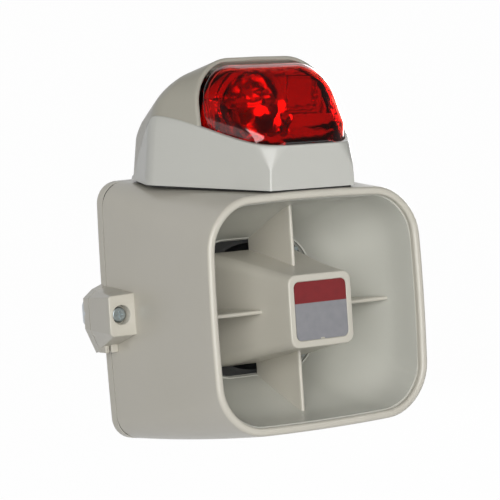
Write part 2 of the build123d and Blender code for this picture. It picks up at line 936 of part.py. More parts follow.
with BuildPart() as driver_screws:
    with Locations(facing_wall(frame_rear_level)):
        with PolarLocations(driver_screw_circle, 4, start_angle=45):
            add(pan_screw(small_screw_radius, small_head_radius, small_head_height, driver_screw_length))
save(driver_screws.part, "driver_screws")

# Surround: thick rim clamped between frame and motor, thin web inside it
with BuildPart() as diaphragm_surround:
    with BuildSketch(level(top_plate_level)):
        Circle(motor_radius)
        Circle(chamber_radius, mode=Mode.SUBTRACT)
    extrude(amount=surround_clamp)
    with BuildSketch(level(frame_rear_level)):
        Circle(chamber_radius)
        Circle(surround_inner, mode=Mode.SUBTRACT)
    extrude(amount=-surround_web)
save(diaphragm_surround.part, "diaphragm_surround")

# Dome: flat rim on the coil former and a shallow spherical cap
with BuildPart() as diaphragm_dome:
    with BuildSketch(Plane.XY):
        with BuildLine():
            Line((0, -dome_level - dome_rise), (0, -dome_level - dome_rise - dome_thick))
            TangentArc(
                (0, -dome_level - dome_rise - dome_thick),
                (coil_inner, -dome_level - dome_thick),
                tangent=(1, 0),
            )
            Polyline(
                (coil_inner, -dome_level - dome_thick),
                (dome_radius, -dome_level - dome_thick),
                (dome_radius, -dome_level),
                (coil_inner, -dome_level),
            )
            TangentArc((0, -dome_level - dome_rise), (coil_inner, -dome_level), tangent=(1, 0))
        make_face()
    revolve(axis=Axis.Y)
save(diaphragm_dome.part, "diaphragm_dome")

with BuildPart() as voice_coil:
    with BuildSketch(level(dome_level)):
        Circle(coil_inner + coil_thick)
        Circle(coil_inner, mode=Mode.SUBTRACT)
    extrude(amount=-coil_length)
save(voice_coil.part, "voice_coil")

with BuildPart() as top_plate:
    with BuildSketch(level(magnet_level)):
        Circle(motor_radius)
        Circle(coil_inner + coil_thick + air_gap, mode=Mode.SUBTRACT)
    extrude(amount=top_plate_thick)
save(top_plate.part, "top_plate")

with BuildPart() as ring_magnet:
    with BuildSketch(level(yoke_level)):
        Circle(motor_radius)
        Circle(magnet_inner, mode=Mode.SUBTRACT)
    extrude(amount=magnet_thick)
save(ring_magnet.part, "ring_magnet")

with BuildPart() as pole_yoke:
    with BuildSketch(level(yoke_level)):
        Circle(motor_radius)
    extrude(amount=-yoke_thick)
    with BuildSketch(level(yoke_level)):
        Circle(pole_radius)
    extrude(amount=top_plate_level - yoke_level)
    with BuildSketch(level(top_plate_level)):
        Circle(vent_radius)
    extrude(amount=yoke_level - yoke_thick - top_plate_level, mode=Mode.SUBTRACT)
save(pole_yoke.part, "pole_yoke")

with BuildPart() as driver_terminals:
    with BuildSketch(level(frame_rear_level)):
        with Locations((0, driver_screw_circle)):
            with GridLocations(terminal_spread, 1, 2, 1):
                Rectangle(terminal_width, terminal_thick)
    extrude(amount=-terminal_length)
save(driver_terminals.part, "driver_terminals")

with BuildPart() as siren_board:
    with BuildSketch(level(board_level)):
        with Locations((0, board_z)):
            Rectangle(board_width, board_height)
        with Locations(board_holes):
            Circle(board_screw_radius + hole_gap, mode=Mode.SUBTRACT)
    extrude(amount=board_thick)
save(siren_board.part, "siren_board")

with BuildPart() as board_screws:
    with Locations(level(board_front_level)):
        with Locations(board_holes):
            add(pan_screw(board_screw_radius, board_head_radius, small_head_height, standoff_height))
save(board_screws.part, "board_screws")

with BuildPart() as board_capacitors:
    with BuildSketch(level(board_front_level)):
        with Locations((0, board_z + capacitor_radius / 2)):
            with GridLocations(capacitor_pitch, 1, 2, 1):
                Circle(capacitor_radius)
    extrude(amount=capacitor_height)
    fillet(board_capacitors.edges().group_by(Axis.Y)[0], capacitor_round)
save(board_capacitors.part, "board_capacitors")

with BuildPart() as timing_chip:
    with BuildSketch(level(board_front_level)):
        with Locations((0, board_z - board_height / 2 + chip_depth)):
            Rectangle(chip_width, chip_depth)
    extrude(amount=chip_height)
save(timing_chip.part, "timing_chip")

with BuildPart() as heat_sink:
    with BuildSketch(level(board_front_level)):
        with Locations((transistor_x, sink_z)):
            Rectangle(sink_width, sink_thick)
    extrude(amount=sink_height)
save(heat_sink.part, "heat_sink")

with BuildPart() as output_transistors:
    with BuildSketch(level(board_front_level)):
        with Locations((transistor_x, sink_z + (sink_thick + transistor_thick) / 2)):
            with GridLocations(transistor_pitch, 1, 2, 1):
                Rectangle(transistor_width, transistor_thick)
    extrude(amount=transistor_height)
save(output_transistors.part, "output_transistors")

way_pitch = block_width / block_ways
with BuildPart() as terminal_block:
    with BuildSketch(level(board_front_level)):
        with Locations((block_x, board_z)):
            Rectangle(block_width, block_depth)
    extrude(amount=block_height)
    with BuildSketch(level(board_front_level + block_height)):
        with Locations((block_x, board_z)):
            with GridLocations(way_pitch, 1, block_ways, 1):
                Circle(block_screw_radius + fit_gap)
    extrude(amount=-block_height / 2, mode=Mode.SUBTRACT)
save(terminal_block.part, "terminal_block")

with BuildPart() as terminal_screws:
    with BuildSketch(level(board_front_level + block_height / 2)):
        with Locations((block_x, board_z)):
            with GridLocations(way_pitch, 1, block_ways, 1):
                Circle(block_screw_radius)
    extrude(amount=block_screw_height)
    with BuildSketch(level(board_front_level + block_height / 2 + block_screw_height)):
        with Locations((block_x, board_z)):
            with GridLocations(way_pitch, 1, block_ways, 1):
                Rectangle(2 * block_screw_radius, drive_width)
    extrude(amount=-drive_depth, mode=Mode.SUBTRACT)
save(terminal_screws.part, "terminal_screws")

chamber_level = floor_level + tamper_floor
chamber_top_level = floor_level + tamper_body_height - tamper_floor
collar_level = chamber_level + collar_lift
with BuildPart() as tamper_switch:
    with BuildSketch(level(floor_level)):
        with Locations((tamper_x, tamper_z)):
            Rectangle(tamper_width, tamper_width)
            Circle(stem_radius + stem_gap, mode=Mode.SUBTRACT)
    extrude(amount=tamper_body_height)
    with BuildSketch(level(chamber_level)):
        with Locations((tamper_x, tamper_z)):
            Circle(tamper_bore)
    extrude(amount=chamber_top_level - chamber_level, mode=Mode.SUBTRACT)
save(tamper_switch.part, "tamper_switch")

with BuildPart() as tamper_plunger:
    with BuildSketch(level(stem_tip_level)):
        with Locations((tamper_x, tamper_z)):
            Circle(stem_radius)
    extrude(amount=floor_level + tamper_body_height - stem_tip_level)
    with BuildSketch(level(collar_level)):
        with Locations((tamper_x, tamper_z)):
            Circle(collar_radius)
    extrude(amount=collar_thick)
save(tamper_plunger.part, "tamper_plunger")

spring_level = collar_level + collar_thick + spring_wire
spring_length = chamber_top_level - spring_wire - spring_level
with BuildPart() as tamper_spring:
    with BuildLine() as coil:
        Helix(
            spring_length / spring_turns,
            spring_length,
            spring_radius,
            center=(tamper_x, -spring_level, tamper_z),
            direction=(0, -1, 0),
        )
    with BuildSketch(Plane(coil.line @ 0, z_dir=coil.line % 0)):
        Circle(spring_wire)
    sweep(path=coil.line)
save(tamper_spring.part, "tamper_spring")

with BuildPart() as strobe_gasket:
    with BuildSketch(strobe_plane):
        add(strobe_outline(0, strobe_gasket_inset))
        with Locations(strobe_screw_spots):
            Circle(small_screw_radius + hole_gap, mode=Mode.SUBTRACT)
        with Locations((0, wire_hole_s)):
            Circle(wire_hole_radius, mode=Mode.SUBTRACT)
    extrude(amount=strobe_gasket_thick)
save(strobe_gasket.part, "strobe_gasket")

# Base: floor, scalloped skirt round front and sides, ledge for the lens, screw bosses
with BuildPart() as strobe_base:
    add(across_strobe(skirt_profile()))
    add(strobe_form(0, strobe_gasket_thick, strobe_height), mode=Mode.INTERSECT)
    add(strobe_form(skirt_wall, strobe_floor, strobe_height), mode=Mode.SUBTRACT)
    add(lens_ledge())
    with Locations(strobe_plane.offset(strobe_floor)):
        with Locations(strobe_screw_spots):
            Cylinder(strobe_boss_radius, strobe_boss_height, align=foot)
    with Locations(strobe_plane):
        with Locations(strobe_screw_spots):
            Cylinder(
                small_screw_radius + self_tap_gap, strobe_boss_height + base_floor,
                align=foot, mode=Mode.SUBTRACT,
            )
    with BuildSketch(strobe_plane):
        with Locations((0, wire_hole_s)):
            Circle(wire_hole_radius)
    extrude(amount=strobe_floor, mode=Mode.SUBTRACT)
    with BuildSketch(strobe_plane.offset(strobe_floor)):
        with Locations((0, strobe_board_s)):
            with GridLocations(
                strobe_board_width - 2 * strobe_post_inset,
                strobe_board_depth - 2 * strobe_post_inset, 2, 2,
            ):
                Circle(strobe_post_radius)
    extrude(amount=strobe_board_lift)
save(strobe_base.part, "strobe_base")

with BuildPart() as strobe_screws:
    with Locations(strobe_under_plane):
        with Locations(strobe_screw_spots):
            add(pan_screw(small_screw_radius, small_head_radius, small_head_height, strobe_screw_length))
save(strobe_screws.part, "strobe_screws")

# Hood behind the lens, with its rim round the lens
with BuildPart() as strobe_hood:
    add(across_strobe(hood_profile(0)))
    add(strobe_form(hood_inset, strobe_floor, strobe_height), mode=Mode.INTERSECT)
    add(
        strobe_form_with(hood_profile(hood_wall, hood_mouth_shift), hood_inset + hood_wall),
        mode=Mode.SUBTRACT,
    )
    add(across_strobe(skirt_profile(hood_gap)), mode=Mode.SUBTRACT)
save(strobe_hood.part, "strobe_hood")

# Lens: wedge-shaped shell, open below and behind
with BuildPart() as strobe_lens:
    add(across_strobe(lens_profile(0)))
    add(strobe_form(lens_inset, lens_foot_height, strobe_height), mode=Mode.INTERSECT)
    add(strobe_form_with(lens_profile(lens_wall, lens_wall), lens_inset + lens_wall), mode=Mode.SUBTRACT)
save(strobe_lens.part, "strobe_lens")

# Gasket between the lens foot and the ledge
with BuildPart() as lens_gasket:
    with BuildSketch(strobe_plane.offset(lens_foot_height - lens_gasket_thick)):
        add(strobe_outline(lens_foot_height, lens_inset))
        add(strobe_outline(lens_foot_height, lens_inset + lens_wall), mode=Mode.SUBTRACT)
        add(behind_rim(lens_foot_height, lens_gap), mode=Mode.SUBTRACT)
    extrude(amount=lens_gasket_thick)
save(lens_gasket.part, "lens_gasket")

# Reflector: upright panel with a round bowl, a shelf in front and two legs
bowl_plane = strobe_plane.offset(bowl_height)
bowl_axis = Axis(bowl_plane.from_local_coords((bowl_x, 0, 0)), strobe_plane.y_dir)
bowl_back = reflector_level + bowl_depth
with BuildPart() as strobe_reflector:
    with BuildSketch(strobe_cross(reflector_level + reflector_wall)):
        with Locations((0, (reflector_foot + reflector_top) / 2)):
            Rectangle(2 * reflector_half, reflector_top - reflector_foot)
    extrude(amount=reflector_wall)
    with BuildSketch(strobe_plane.offset(reflector_foot)):
        with Locations((0, (shelf_front + reflector_level + reflector_wall) / 2)):
            Rectangle(2 * reflector_half, reflector_level + reflector_wall - shelf_front)
    extrude(amount=reflector_wall)
    add(
        strobe_form(lens_inset + lens_wall + reflector_gap, strobe_floor, strobe_height),
        mode=Mode.INTERSECT,
    )
    with BuildSketch(bowl_plane):
        with BuildLine():
            TangentArc(
                (bowl_x, bowl_back + reflector_wall),
                (bowl_x + bowl_radius + reflector_wall, reflector_level),
                tangent=(1, 0),
            )
            Polyline(
                (bowl_x + bowl_radius + reflector_wall, reflector_level),
                (bowl_x, reflector_level),
                (bowl_x, bowl_back + reflector_wall),
            )
        make_face()
    revolve(axis=bowl_axis)
    with BuildSketch(bowl_plane):
        with BuildLine():
            TangentArc(
                (bowl_x, bowl_back), (bowl_x + bowl_radius, reflector_level), tangent=(1, 0)
            )
            Polyline(
                (bowl_x + bowl_radius, reflector_level),
                (bowl_x, reflector_level),
                (bowl_x, bowl_back),
            )
        make_face()
    revolve(axis=bowl_axis, mode=Mode.SUBTRACT)
    with BuildSketch(strobe_plane.offset(strobe_floor)):
        with Locations((-leg_x, leg_s), (leg_x, leg_s)):
            Circle(leg_radius)
    extrude(amount=reflector_foot - strobe_floor)
    with BuildSketch(strobe_cross(bowl_back + lead_length)):
        with Locations(*lead_spots):
            Circle(lead_radius + lead_hole_gap)
    extrude(amount=lead_length + bowl_depth, mode=Mode.SUBTRACT)
save(strobe_reflector.part, "strobe_reflector")

# Xenon tube across the bowl, its two end caps and their lead pins
tube_level = reflector_level + tube_depth
tube_plane = Plane(
    origin=strobe_plane.from_local_coords((bowl_x, tube_level, bowl_height)),
    x_dir=strobe_plane.y_dir,
    z_dir=strobe_plane.x_dir,
)
with BuildPart() as flash_tube:
    with BuildSketch(tube_plane):
        Circle(tube_radius)
    extrude(amount=tube_half, both=True)
save(flash_tube.part, "flash_tube")

with BuildPart() as tube_caps:
    for hand in (-1, 1):
        with BuildSketch(tube_plane.offset(hand * tube_half)):
            Circle(cap_radius)
        extrude(amount=hand * cap_length)
    with BuildSketch(strobe_cross(tube_level + lead_length)):
        with Locations(*lead_spots):
            Circle(lead_radius)
    extrude(amount=lead_length)
save(tube_caps.part, "tube_caps")

# Strobe electronics behind the reflector
board_lift = strobe_floor + strobe_board_lift
with BuildPart() as strobe_board:
    with BuildSketch(strobe_plane.offset(board_lift)):
        with Locations((0, strobe_board_s)):
            Rectangle(strobe_board_width, strobe_board_depth)
    extrude(amount=board_thick)
save(strobe_board.part, "strobe_board")

with BuildPart() as strobe_capacitor:
    with BuildSketch(
        Plane(
            origin=strobe_plane.from_local_coords(
                (0, strobe_cap_s, board_lift + board_thick + strobe_cap_radius + seat_gap)
            ),
            x_dir=strobe_plane.y_dir,
            z_dir=strobe_plane.x_dir,
        )
    ):
        Circle(strobe_cap_radius)
    extrude(amount=strobe_cap_length / 2, both=True)
    fillet(strobe_capacitor.edges().filter_by(GeomType.CIRCLE), capacitor_round)
save(strobe_capacitor.part, "strobe_capacitor")

with BuildPart() as trigger_coil:
    with BuildSketch(strobe_plane.offset(board_lift + board_thick)):
        with Locations((coil_x, coil_s)):
            Circle(coil_radius)
    extrude(amount=coil_height)
save(trigger_coil.part, "trigger_coil")
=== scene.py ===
import json
import math

import bmesh
import bpy
import numpy as np
from mathutils import Matrix, Vector


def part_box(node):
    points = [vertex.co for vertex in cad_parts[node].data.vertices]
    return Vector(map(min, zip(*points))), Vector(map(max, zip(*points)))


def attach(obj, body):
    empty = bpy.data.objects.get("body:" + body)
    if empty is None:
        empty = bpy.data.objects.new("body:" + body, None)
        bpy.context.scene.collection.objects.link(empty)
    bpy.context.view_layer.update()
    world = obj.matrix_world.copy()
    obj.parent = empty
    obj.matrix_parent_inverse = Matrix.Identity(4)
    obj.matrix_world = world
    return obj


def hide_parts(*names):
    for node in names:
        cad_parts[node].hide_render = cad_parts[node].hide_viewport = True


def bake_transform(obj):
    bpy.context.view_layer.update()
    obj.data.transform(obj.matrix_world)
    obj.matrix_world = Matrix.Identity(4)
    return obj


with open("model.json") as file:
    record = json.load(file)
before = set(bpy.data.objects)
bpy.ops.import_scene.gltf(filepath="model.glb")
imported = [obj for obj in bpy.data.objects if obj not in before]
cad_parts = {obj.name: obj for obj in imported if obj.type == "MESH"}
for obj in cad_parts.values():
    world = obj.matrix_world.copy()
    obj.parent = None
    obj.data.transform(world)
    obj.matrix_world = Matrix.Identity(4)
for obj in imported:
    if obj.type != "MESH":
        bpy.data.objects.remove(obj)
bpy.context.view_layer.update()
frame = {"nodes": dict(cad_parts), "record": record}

mm = 0.001


def toLinear(hexColour):
    # sRGB hex to the linear values that shaders take
    parts = np.array([int(hexColour[i:i + 2], 16) / 255 for i in (1, 3, 5)])
    linear = np.where(parts <= 0.04045, parts / 12.92, ((parts + 0.055) / 1.055) ** 2.4)
    return (*linear.tolist(), 1.0)


def perMetre(size):
    # Scale of a noise whose features are that many mm across
    return 1 / (size * mm)


def newMaterial(name):
    material = bpy.data.materials.new(name)
    material.use_nodes = True
    shader = material.node_tree.nodes["Principled BSDF"]
    return material, material.node_tree, shader


def addNode(tree, kind, settings=None, links=None):
    # one node with its settings, and links as {input name or number: (node, output name or number)}
    made = tree.nodes.new(kind)
    for key, value in (settings or {}).items():
        if isinstance(key, int) or key in made.inputs:
            made.inputs[key].default_value = value
        else:
            setattr(made, key, value)
    for key, (source, output) in (links or {}).items():
        tree.links.new(source.outputs[output], made.inputs[key])
    return made


def linkTo(tree, source, output, target, socket):
    tree.links.new(source.outputs[output], target.inputs[socket])


def rampStops(ramp, shade, colour):
    # From shade to colour across the middle of a noise's range
    for element, position, tone in zip(ramp.color_ramp.elements, (0.3, 0.7), (shade, colour)):
        element.position = position
        element.color = toLinear(tone)


def cloudedColour(tree, shader, place, look, scale, detail):
    # Colour that drifts between the look's two shades
    clouds = addNode(tree, "ShaderNodeTexNoise", {"Scale": scale, "Detail": detail},
                     {"Vector": (place, "Object")})
    tint = addNode(tree, "ShaderNodeValToRGB", links={"Fac": (clouds, "Fac")})
    rampStops(tint, look["shade"], look["colour"])
    linkTo(tree, tint, "Color", shader, "Base Color")


def mouldedPlastic(name, look):
    # Injection-moulded plastic: even colour with faint flow clouds, a fine orange-peel skin, soft gloss
    material, tree, shader = newMaterial(name)
    place = addNode(tree, "ShaderNodeTexCoord")
    cloudedColour(tree, shader, place, look, perMetre(look["cloudSize"]), 3.0)
    wear = addNode(tree, "ShaderNodeTexNoise", {"Scale": perMetre(look["smudgeSize"]), "Detail": 4.0},
                   {"Vector": (place, "Object")})
    gloss = addNode(tree, "ShaderNodeMapRange", {
        "From Min": 0.35, "From Max": 0.7, "To Min": look["roughness"][0], "To Max": look["roughness"][1],
    }, {"Value": (wear, "Fac")})
    linkTo(tree, gloss, "Result", shader, "Roughness")
    skin = addNode(tree, "ShaderNodeTexNoise", {"Scale": perMetre(look["peelSize"]), "Detail": 2.0},
                   {"Vector": (place, "Object")})
    bump = addNode(tree, "ShaderNodeBump", {
        "Strength": look["peelStrength"], "Distance": look["peelDepth"] * mm,
    }, {"Height": (skin, "Fac")})
    linkTo(tree, bump, "Normal", shader, "Normal")
    shader.inputs["IOR"].default_value = 1.53
    return material


def brushedMetal(name, look):
    # Plated or bare metal: fine drawn lines along one direction over a bright, slightly cloudy ground
    material, tree, shader = newMaterial(name)
    place = addNode(tree, "ShaderNodeTexCoord")
    stretch = addNode(tree, "ShaderNodeMapping", {"Scale": look["linesPerMetre"]},
                      {"Vector": (place, "Object")})
    lines = addNode(tree, "ShaderNodeTexNoise", {"Scale": 1.0, "Detail": 4.0},
                    {"Vector": (stretch, "Vector")})
    cloudedColour(tree, shader, place, look, perMetre(look["cloudSize"]), 3.0)
    gloss = addNode(tree, "ShaderNodeMapRange", {
        "To Min": look["roughness"][0], "To Max": look["roughness"][1],
    }, {"Value": (lines, "Fac")})
    linkTo(tree, gloss, "Result", shader, "Roughness")
    bump = addNode(tree, "ShaderNodeBump", {
        "Strength": look["lineStrength"], "Distance": look["lineDepth"] * mm,
    }, {"Height": (lines, "Fac")})
    linkTo(tree, bump, "Normal", shader, "Normal")
    shader.inputs["Metallic"].default_value = 1.0
    return material


def joinGrids(name, grids, sharpAngle=38.0):
    # Each grid is (points, closedAcross, closedAlong): rows of points, joined into quads. Rows that shrink to
    # one point close a pole. Doubles are merged and the faces turned outwards.
    points, faces, start = [], [], 0
    for rows, closedAcross, closedAlong in grids:
        count, width = rows.shape[:2]
        index = np.arange(count * width).reshape(count, width) + start
        below = index if closedAlong else index[:-1]
        above = np.roll(index, -1, 0) if closedAlong else index[1:]
        if closedAcross:
            quads = np.stack([below, np.roll(below, -1, 1), np.roll(above, -1, 1), above], -1)
        else:
            quads = np.stack([below[:, :-1], below[:, 1:], above[:, 1:], above[:, :-1]], -1)
        points.append(rows.reshape(-1, 3))
        faces.append(quads.reshape(-1, 4))
        start += count * width
    mesh = bpy.data.meshes.new(name)
    mesh.from_pydata(np.concatenate(points) * mm, [], np.concatenate(faces).tolist())
    tool = bmesh.new()
    tool.from_mesh(mesh)
    bmesh.ops.remove_doubles(tool, verts=tool.verts, dist=1e-6)
    bmesh.ops.dissolve_degenerate(tool, edges=tool.edges, dist=1e-7)
    bmesh.ops.recalc_face_normals(tool, faces=tool.faces)
    tool.to_mesh(mesh)
    tool.free()
    mesh.polygons.foreach_set("use_smooth", np.ones(len(mesh.polygons), bool))
    mesh.set_sharp_from_angle(angle=math.radians(sharpAngle))
    mesh.update()
    piece = bpy.data.objects.new(name, mesh)
    bpy.context.scene.collection.objects.link(piece)
    return piece


def finishPiece(piece, material, replaced):
    # The pieces finished here all stand still with the case
    piece.data.materials.append(material)
    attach(piece, "case")
    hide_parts(replaced)
    print("made", piece.name)


def between(rear, front, share):
    return rear + (front - rear) * share


def smooth(value):
    # 3 t^2 - 2 t^3, with t held between 0 and 1
    t = np.clip(value, 0, 1)
    return 3 * t**2 - 2 * t**3


def smoothThrough(knots, values, x):
    # Smooth curve through the knots: a cubic between each two, with the slope at a knot from its neighbours
    knots, values, x = (np.asarray(a, float) for a in (knots, values, x))
    slope = np.gradient(values, knots)
    i = np.clip(np.searchsorted(knots, x) - 1, 0, len(knots) - 2)
    step = knots[i + 1] - knots[i]
    t = (x - knots[i]) / step
    return (
        (2 * t**3 - 3 * t**2 + 1) * values[i] + (t**3 - 2 * t**2 + t) * step * slope[i]
        + (3 * t**2 - 2 * t**3) * values[i + 1] + (t**3 - t**2) * step * slope[i + 1]
    )


def arc(count):
    return np.linspace(0, math.pi / 2, count)


def quarterTurn(count):
    # (sine, cosine) at even steps through a right angle, for rounded edges
    return list(zip(np.sin(arc(count)), np.cos(arc(count))))


def bowedLoop(halfWidth, top, bottom, corner, bow):
    # A rounded rectangle whose sides bulge: each point moves out by bow x (1 - (distance along the side)^2)
    side, turn = 20, 12  # points along each side and round each corner
    hx, hz = halfWidth - bow, (top - bottom) / 2 - bow
    angles = np.concatenate([np.linspace(q, q + math.pi / 2, turn) for q in np.arange(4) * math.pi / 2])
    signX = np.repeat([1, -1, -1, 1], turn)
    signZ = np.repeat([1, 1, -1, -1], turn)
    normalX, normalZ = np.cos(angles), np.sin(angles)
    x = signX * (hx - corner) + corner * normalX
    z = signZ * (hz - corner) + corner * normalZ
    xs, zs, nxs, nzs = [], [], [], []
    for k in range(4):
        part = slice(k * turn, (k + 1) * turn)
        last, first = (k + 1) * turn - 1, ((k + 1) % 4) * turn
        t = np.linspace(0, 1, side + 2)[1:-1]
        xs += [x[part], between(x[last], x[first], t)]
        zs += [z[part], between(z[last], z[first], t)]
        nxs += [normalX[part], np.full(side, normalX[last])]
        nzs += [normalZ[part], np.full(side, normalZ[last])]
    x, z, nx, nz = (np.concatenate(a) for a in (xs, zs, nxs, nzs))
    x = x + nx * bow * (1 - (z / hz) ** 2)
    z = z + nz * bow * (1 - (x / halfWidth) ** 2) + (top + bottom) / 2
    return np.stack([x, z], -1)


def atLevel(loop, level):
    # A loop of (x, z) points on the plane that far in front of the wall
    level = np.broadcast_to(level, loop.shape[:-1])
    return np.stack([loop[..., 0], -level, loop[..., 1]], -1)


def toCentre(loop, shares, centre):
    # Loops that shrink towards a centre, to close a face
    return [centre + (loop - centre) * s for s in shares]


def insetPolygon(corners, amount):
    # Every side moved inwards by amount; corners run anticlockwise
    along = np.roll(corners, -1, -2) - corners
    along = along / np.linalg.norm(along, axis=-1, keepdims=True)
    inward = np.stack([-along[..., 1], along[..., 0]], -1)
    before = np.roll(inward, 1, -2)
    return corners + (before + inward) * amount / (1 + (before * inward).sum(-1, keepdims=True))


def roundedPolygon(corners, radii, side, turn):
    # Straight sides joined by arcs of the given radii, one for each corner; leading axes are kept. side and
    # turn are the points along each side and round each corner.
    into = corners - np.roll(corners, 1, -2)
    into = into / np.linalg.norm(into, axis=-1, keepdims=True)
    out = np.roll(into, -1, -2)
    inward = np.stack([-into[..., 1], into[..., 0]], -1)
    angle = np.arccos(np.clip((into * out).sum(-1), -1, 1))
    reach = (radii * np.tan(angle / 2))[..., None]
    first = corners - into * reach
    last = corners + out * reach
    radii = radii[..., None, None]
    a = (angle[..., None] * np.linspace(0, 1, turn))[..., None]
    centre = (first + inward * radii[..., 0])[..., None, :]
    arcs = centre + radii * (into[..., None, :] * np.sin(a) - inward[..., None, :] * np.cos(a))
    t = np.linspace(0, 1, side + 2)[1:-1, None]
    start, end = last[..., None, :], np.roll(first, -1, -2)[..., None, :]
    loops = np.concatenate([arcs, start + (end - start) * t], -2)
    return loops.reshape(*loops.shape[:-3], -1, 2)


case = {
    "mouthWidth": 140.0, "mouthHeight": 130.0, "mouthCorner": 27.0, "mouthBow": 2.0, "depth": 124.0,
    "backWidth": 143.5, "backTop": 78.4, "backBottom": 73.4, "backCorner": 12.5, "backBow": 1.3,
    "waist": 0.6, "belly": 1.5, "wall": 2.5, "lip": 4.5, "lipDepth": 4.0, "lipRound": 2.0, "rear": 10.8,
}


def caseLoop(level, inset):
    # Section at a level: each size runs straight from back to mouth, less waist x 4 s (1 - s) at the sides
    # and plus belly x 4 s (1 - s) below, with s the share of the depth
    share = level / case["depth"]
    middle = 4 * share * (1 - share)
    return bowedLoop(
        between(case["backWidth"], case["mouthWidth"], share) / 2 - case["waist"] * middle - inset,
        between(case["backTop"], case["mouthHeight"] / 2, share) - inset,
        inset - between(case["backBottom"], case["mouthHeight"] / 2, share) - case["belly"] * middle,
        between(case["backCorner"], case["mouthCorner"], share) - inset,
        between(case["backBow"], case["mouthBow"], share),
    )


def caseShell():
    # Profile in (level, inset), carried round the case: outside, rounded rim, inside, rear edge
    bend = case["lipRound"]
    front, step = case["depth"] - bend, case["depth"] - case["lipDepth"]
    outside = [(v, 0.0) for v in np.linspace(case["rear"], front, 26)]
    rimOut = [(front + bend * s, bend - bend * c) for s, c in quarterTurn(9)]
    rimIn = [(front + bend * c, case["lip"] - bend + bend * s) for s, c in quarterTurn(9)]
    inside = [(v, case["wall"]) for v in np.linspace(step, case["rear"], 14)]
    profile = outside + rimOut[1:] + rimIn + [(step, case["lip"])] + inside
    return np.array([atLevel(caseLoop(v, i), v) for v, i in profile])


lug = {
    "reach": 86.8, "footReach": 82.6, "top": 14.0, "footTop": 20.5, "bottom": -9.6, "footBottom": -21.0,
    "root": 64.0, "chamfer": 3.0, "edge": 0.7, "cornerRound": 1.1, "foot": 2.0, "front": 41.0,
    "holeX": 79.0, "holeZ": 2.2, "holeRadius": 2.25, "sinkRadius": 5.5, "sinkDepth": 6.0, "sinkEdge": 0.4,
    "sinkEdgeMiddle": 0.3,
}


def lugCorners(share):
    # Six corners of the section, each on a straight line from the foot's section to the front's
    reach = between(lug["footReach"], lug["reach"], share)
    top = between(lug["footTop"], lug["top"], share)
    bottom = between(lug["footBottom"], lug["bottom"], share)
    shoulder = between(lug["footTop"] - lug["top"] + lug["chamfer"], lug["chamfer"] / 2, share)
    hip = between(lug["bottom"] - lug["footBottom"] + lug["chamfer"], lug["chamfer"] / 2, share)
    cut = between(lug["chamfer"] * 2, lug["chamfer"] / 2, share)
    return np.array([
        (lug["root"], bottom), (reach - cut, bottom), (reach, bottom + hip),
        (reach, top - shoulder), (reach - cut, top - shoulder / 2), (lug["root"], top),
    ])


def lugShape(hand):
    # Loft between two sections, its front edge rounded, with a sunk screw hole through it. Each ring of the
    # hole takes its angles from the outline, so that the two match point for point.
    k = lug

    def ring(level, inset):
        share = (level - k["foot"]) / (k["front"] - k["foot"])
        corners = insetPolygon(lugCorners(share), inset)
        return atLevel(roundedPolygon(corners, np.full(6, k["cornerRound"]), 6, 5), level)

    def hole(radius, level):
        outline = ring(level, 0)
        angle = np.arctan2(outline[:, 2] - k["holeZ"], outline[:, 0] - k["holeX"])
        loop = np.stack([k["holeX"] + radius * np.cos(angle), k["holeZ"] + radius * np.sin(angle)], -1)
        return atLevel(loop, level)

    high, edge, sink, sinkEdge = k["front"], k["edge"], k["sinkRadius"], k["sinkEdge"]
    middle = sinkEdge * k["sinkEdgeMiddle"]
    rows = [ring(v, 0) for v in np.linspace(case["rear"], high - edge, 6)]
    rows += [ring(high - edge + edge * s, edge - edge * c) for s, c in quarterTurn(5)][1:]
    mouth = hole(sink + sinkEdge, high)
    rows += [between(rows[-1], mouth, 0.5), mouth, hole(sink + middle, high - middle)]
    rows += [hole(sink, high - sinkEdge), hole(sink, high - k["sinkDepth"])]
    rows += [hole(k["holeRadius"], high - k["sinkDepth"]), hole(k["holeRadius"], case["rear"])]
    return np.array(rows) * np.array([hand, 1, 1])


tab = {
    "low": -20.4, "high": -11.5, "sides": ((71.0, 75.4), (76.8, 79.2)), "front": 19.0, "edge": 0.5,
    "corner": 0.8,
}


def tabShape(hand, near, far):
    # Small upright tab below the lug: a rounded rectangle carried forward, its front edge rounded
    k = tab
    corners = np.array([(near, k["low"]), (far, k["low"]), (far, k["high"]), (near, k["high"])])

    def ring(level, inset):
        return atLevel(roundedPolygon(insetPolygon(corners, inset), np.full(4, k["corner"]), 4, 5), level)

    edge = k["edge"]
    rows = [ring(v, 0) for v in np.linspace(case["rear"], k["front"] - edge, 4)]
    rows += [ring(k["front"] - edge + edge * s, edge - edge * c) for s, c in quarterTurn(5)][1:]
    rows += toCentre(rows[-1], (0.5, 0), rows[-1].mean(0))
    rows = toCentre(rows[0], (0, 0.5), rows[0].mean(0)) + rows
    return np.array(rows) * np.array([hand, 1, 1])


# Angles in degrees; middle is where faces across the strobe close, highest is above its roof
strobePlan = {
    "frontHalf": 27.4, "front": 1.0, "sideHalf": 65.0, "side": 70.0, "rearHalf": 53.4, "rear": 113.0,
    "frontRound": (1.5, 22.5), "roundFrom": 12.0, "roundTo": 27.0, "sideRound": 12.0, "rearRound": 14.0,
    "skirtLean": 4.0, "upperLean": 16.0, "leanChange": 34.0, "highest": 76.0, "middle": 60.0,
    "padInset": 12.0,
}
slope = math.atan2(case["backTop"] - case["mouthHeight"] / 2, case["depth"])
planSide, planTurn = 14, 14  # points along each side of the plan and round each corner
planEach = planSide + planTurn


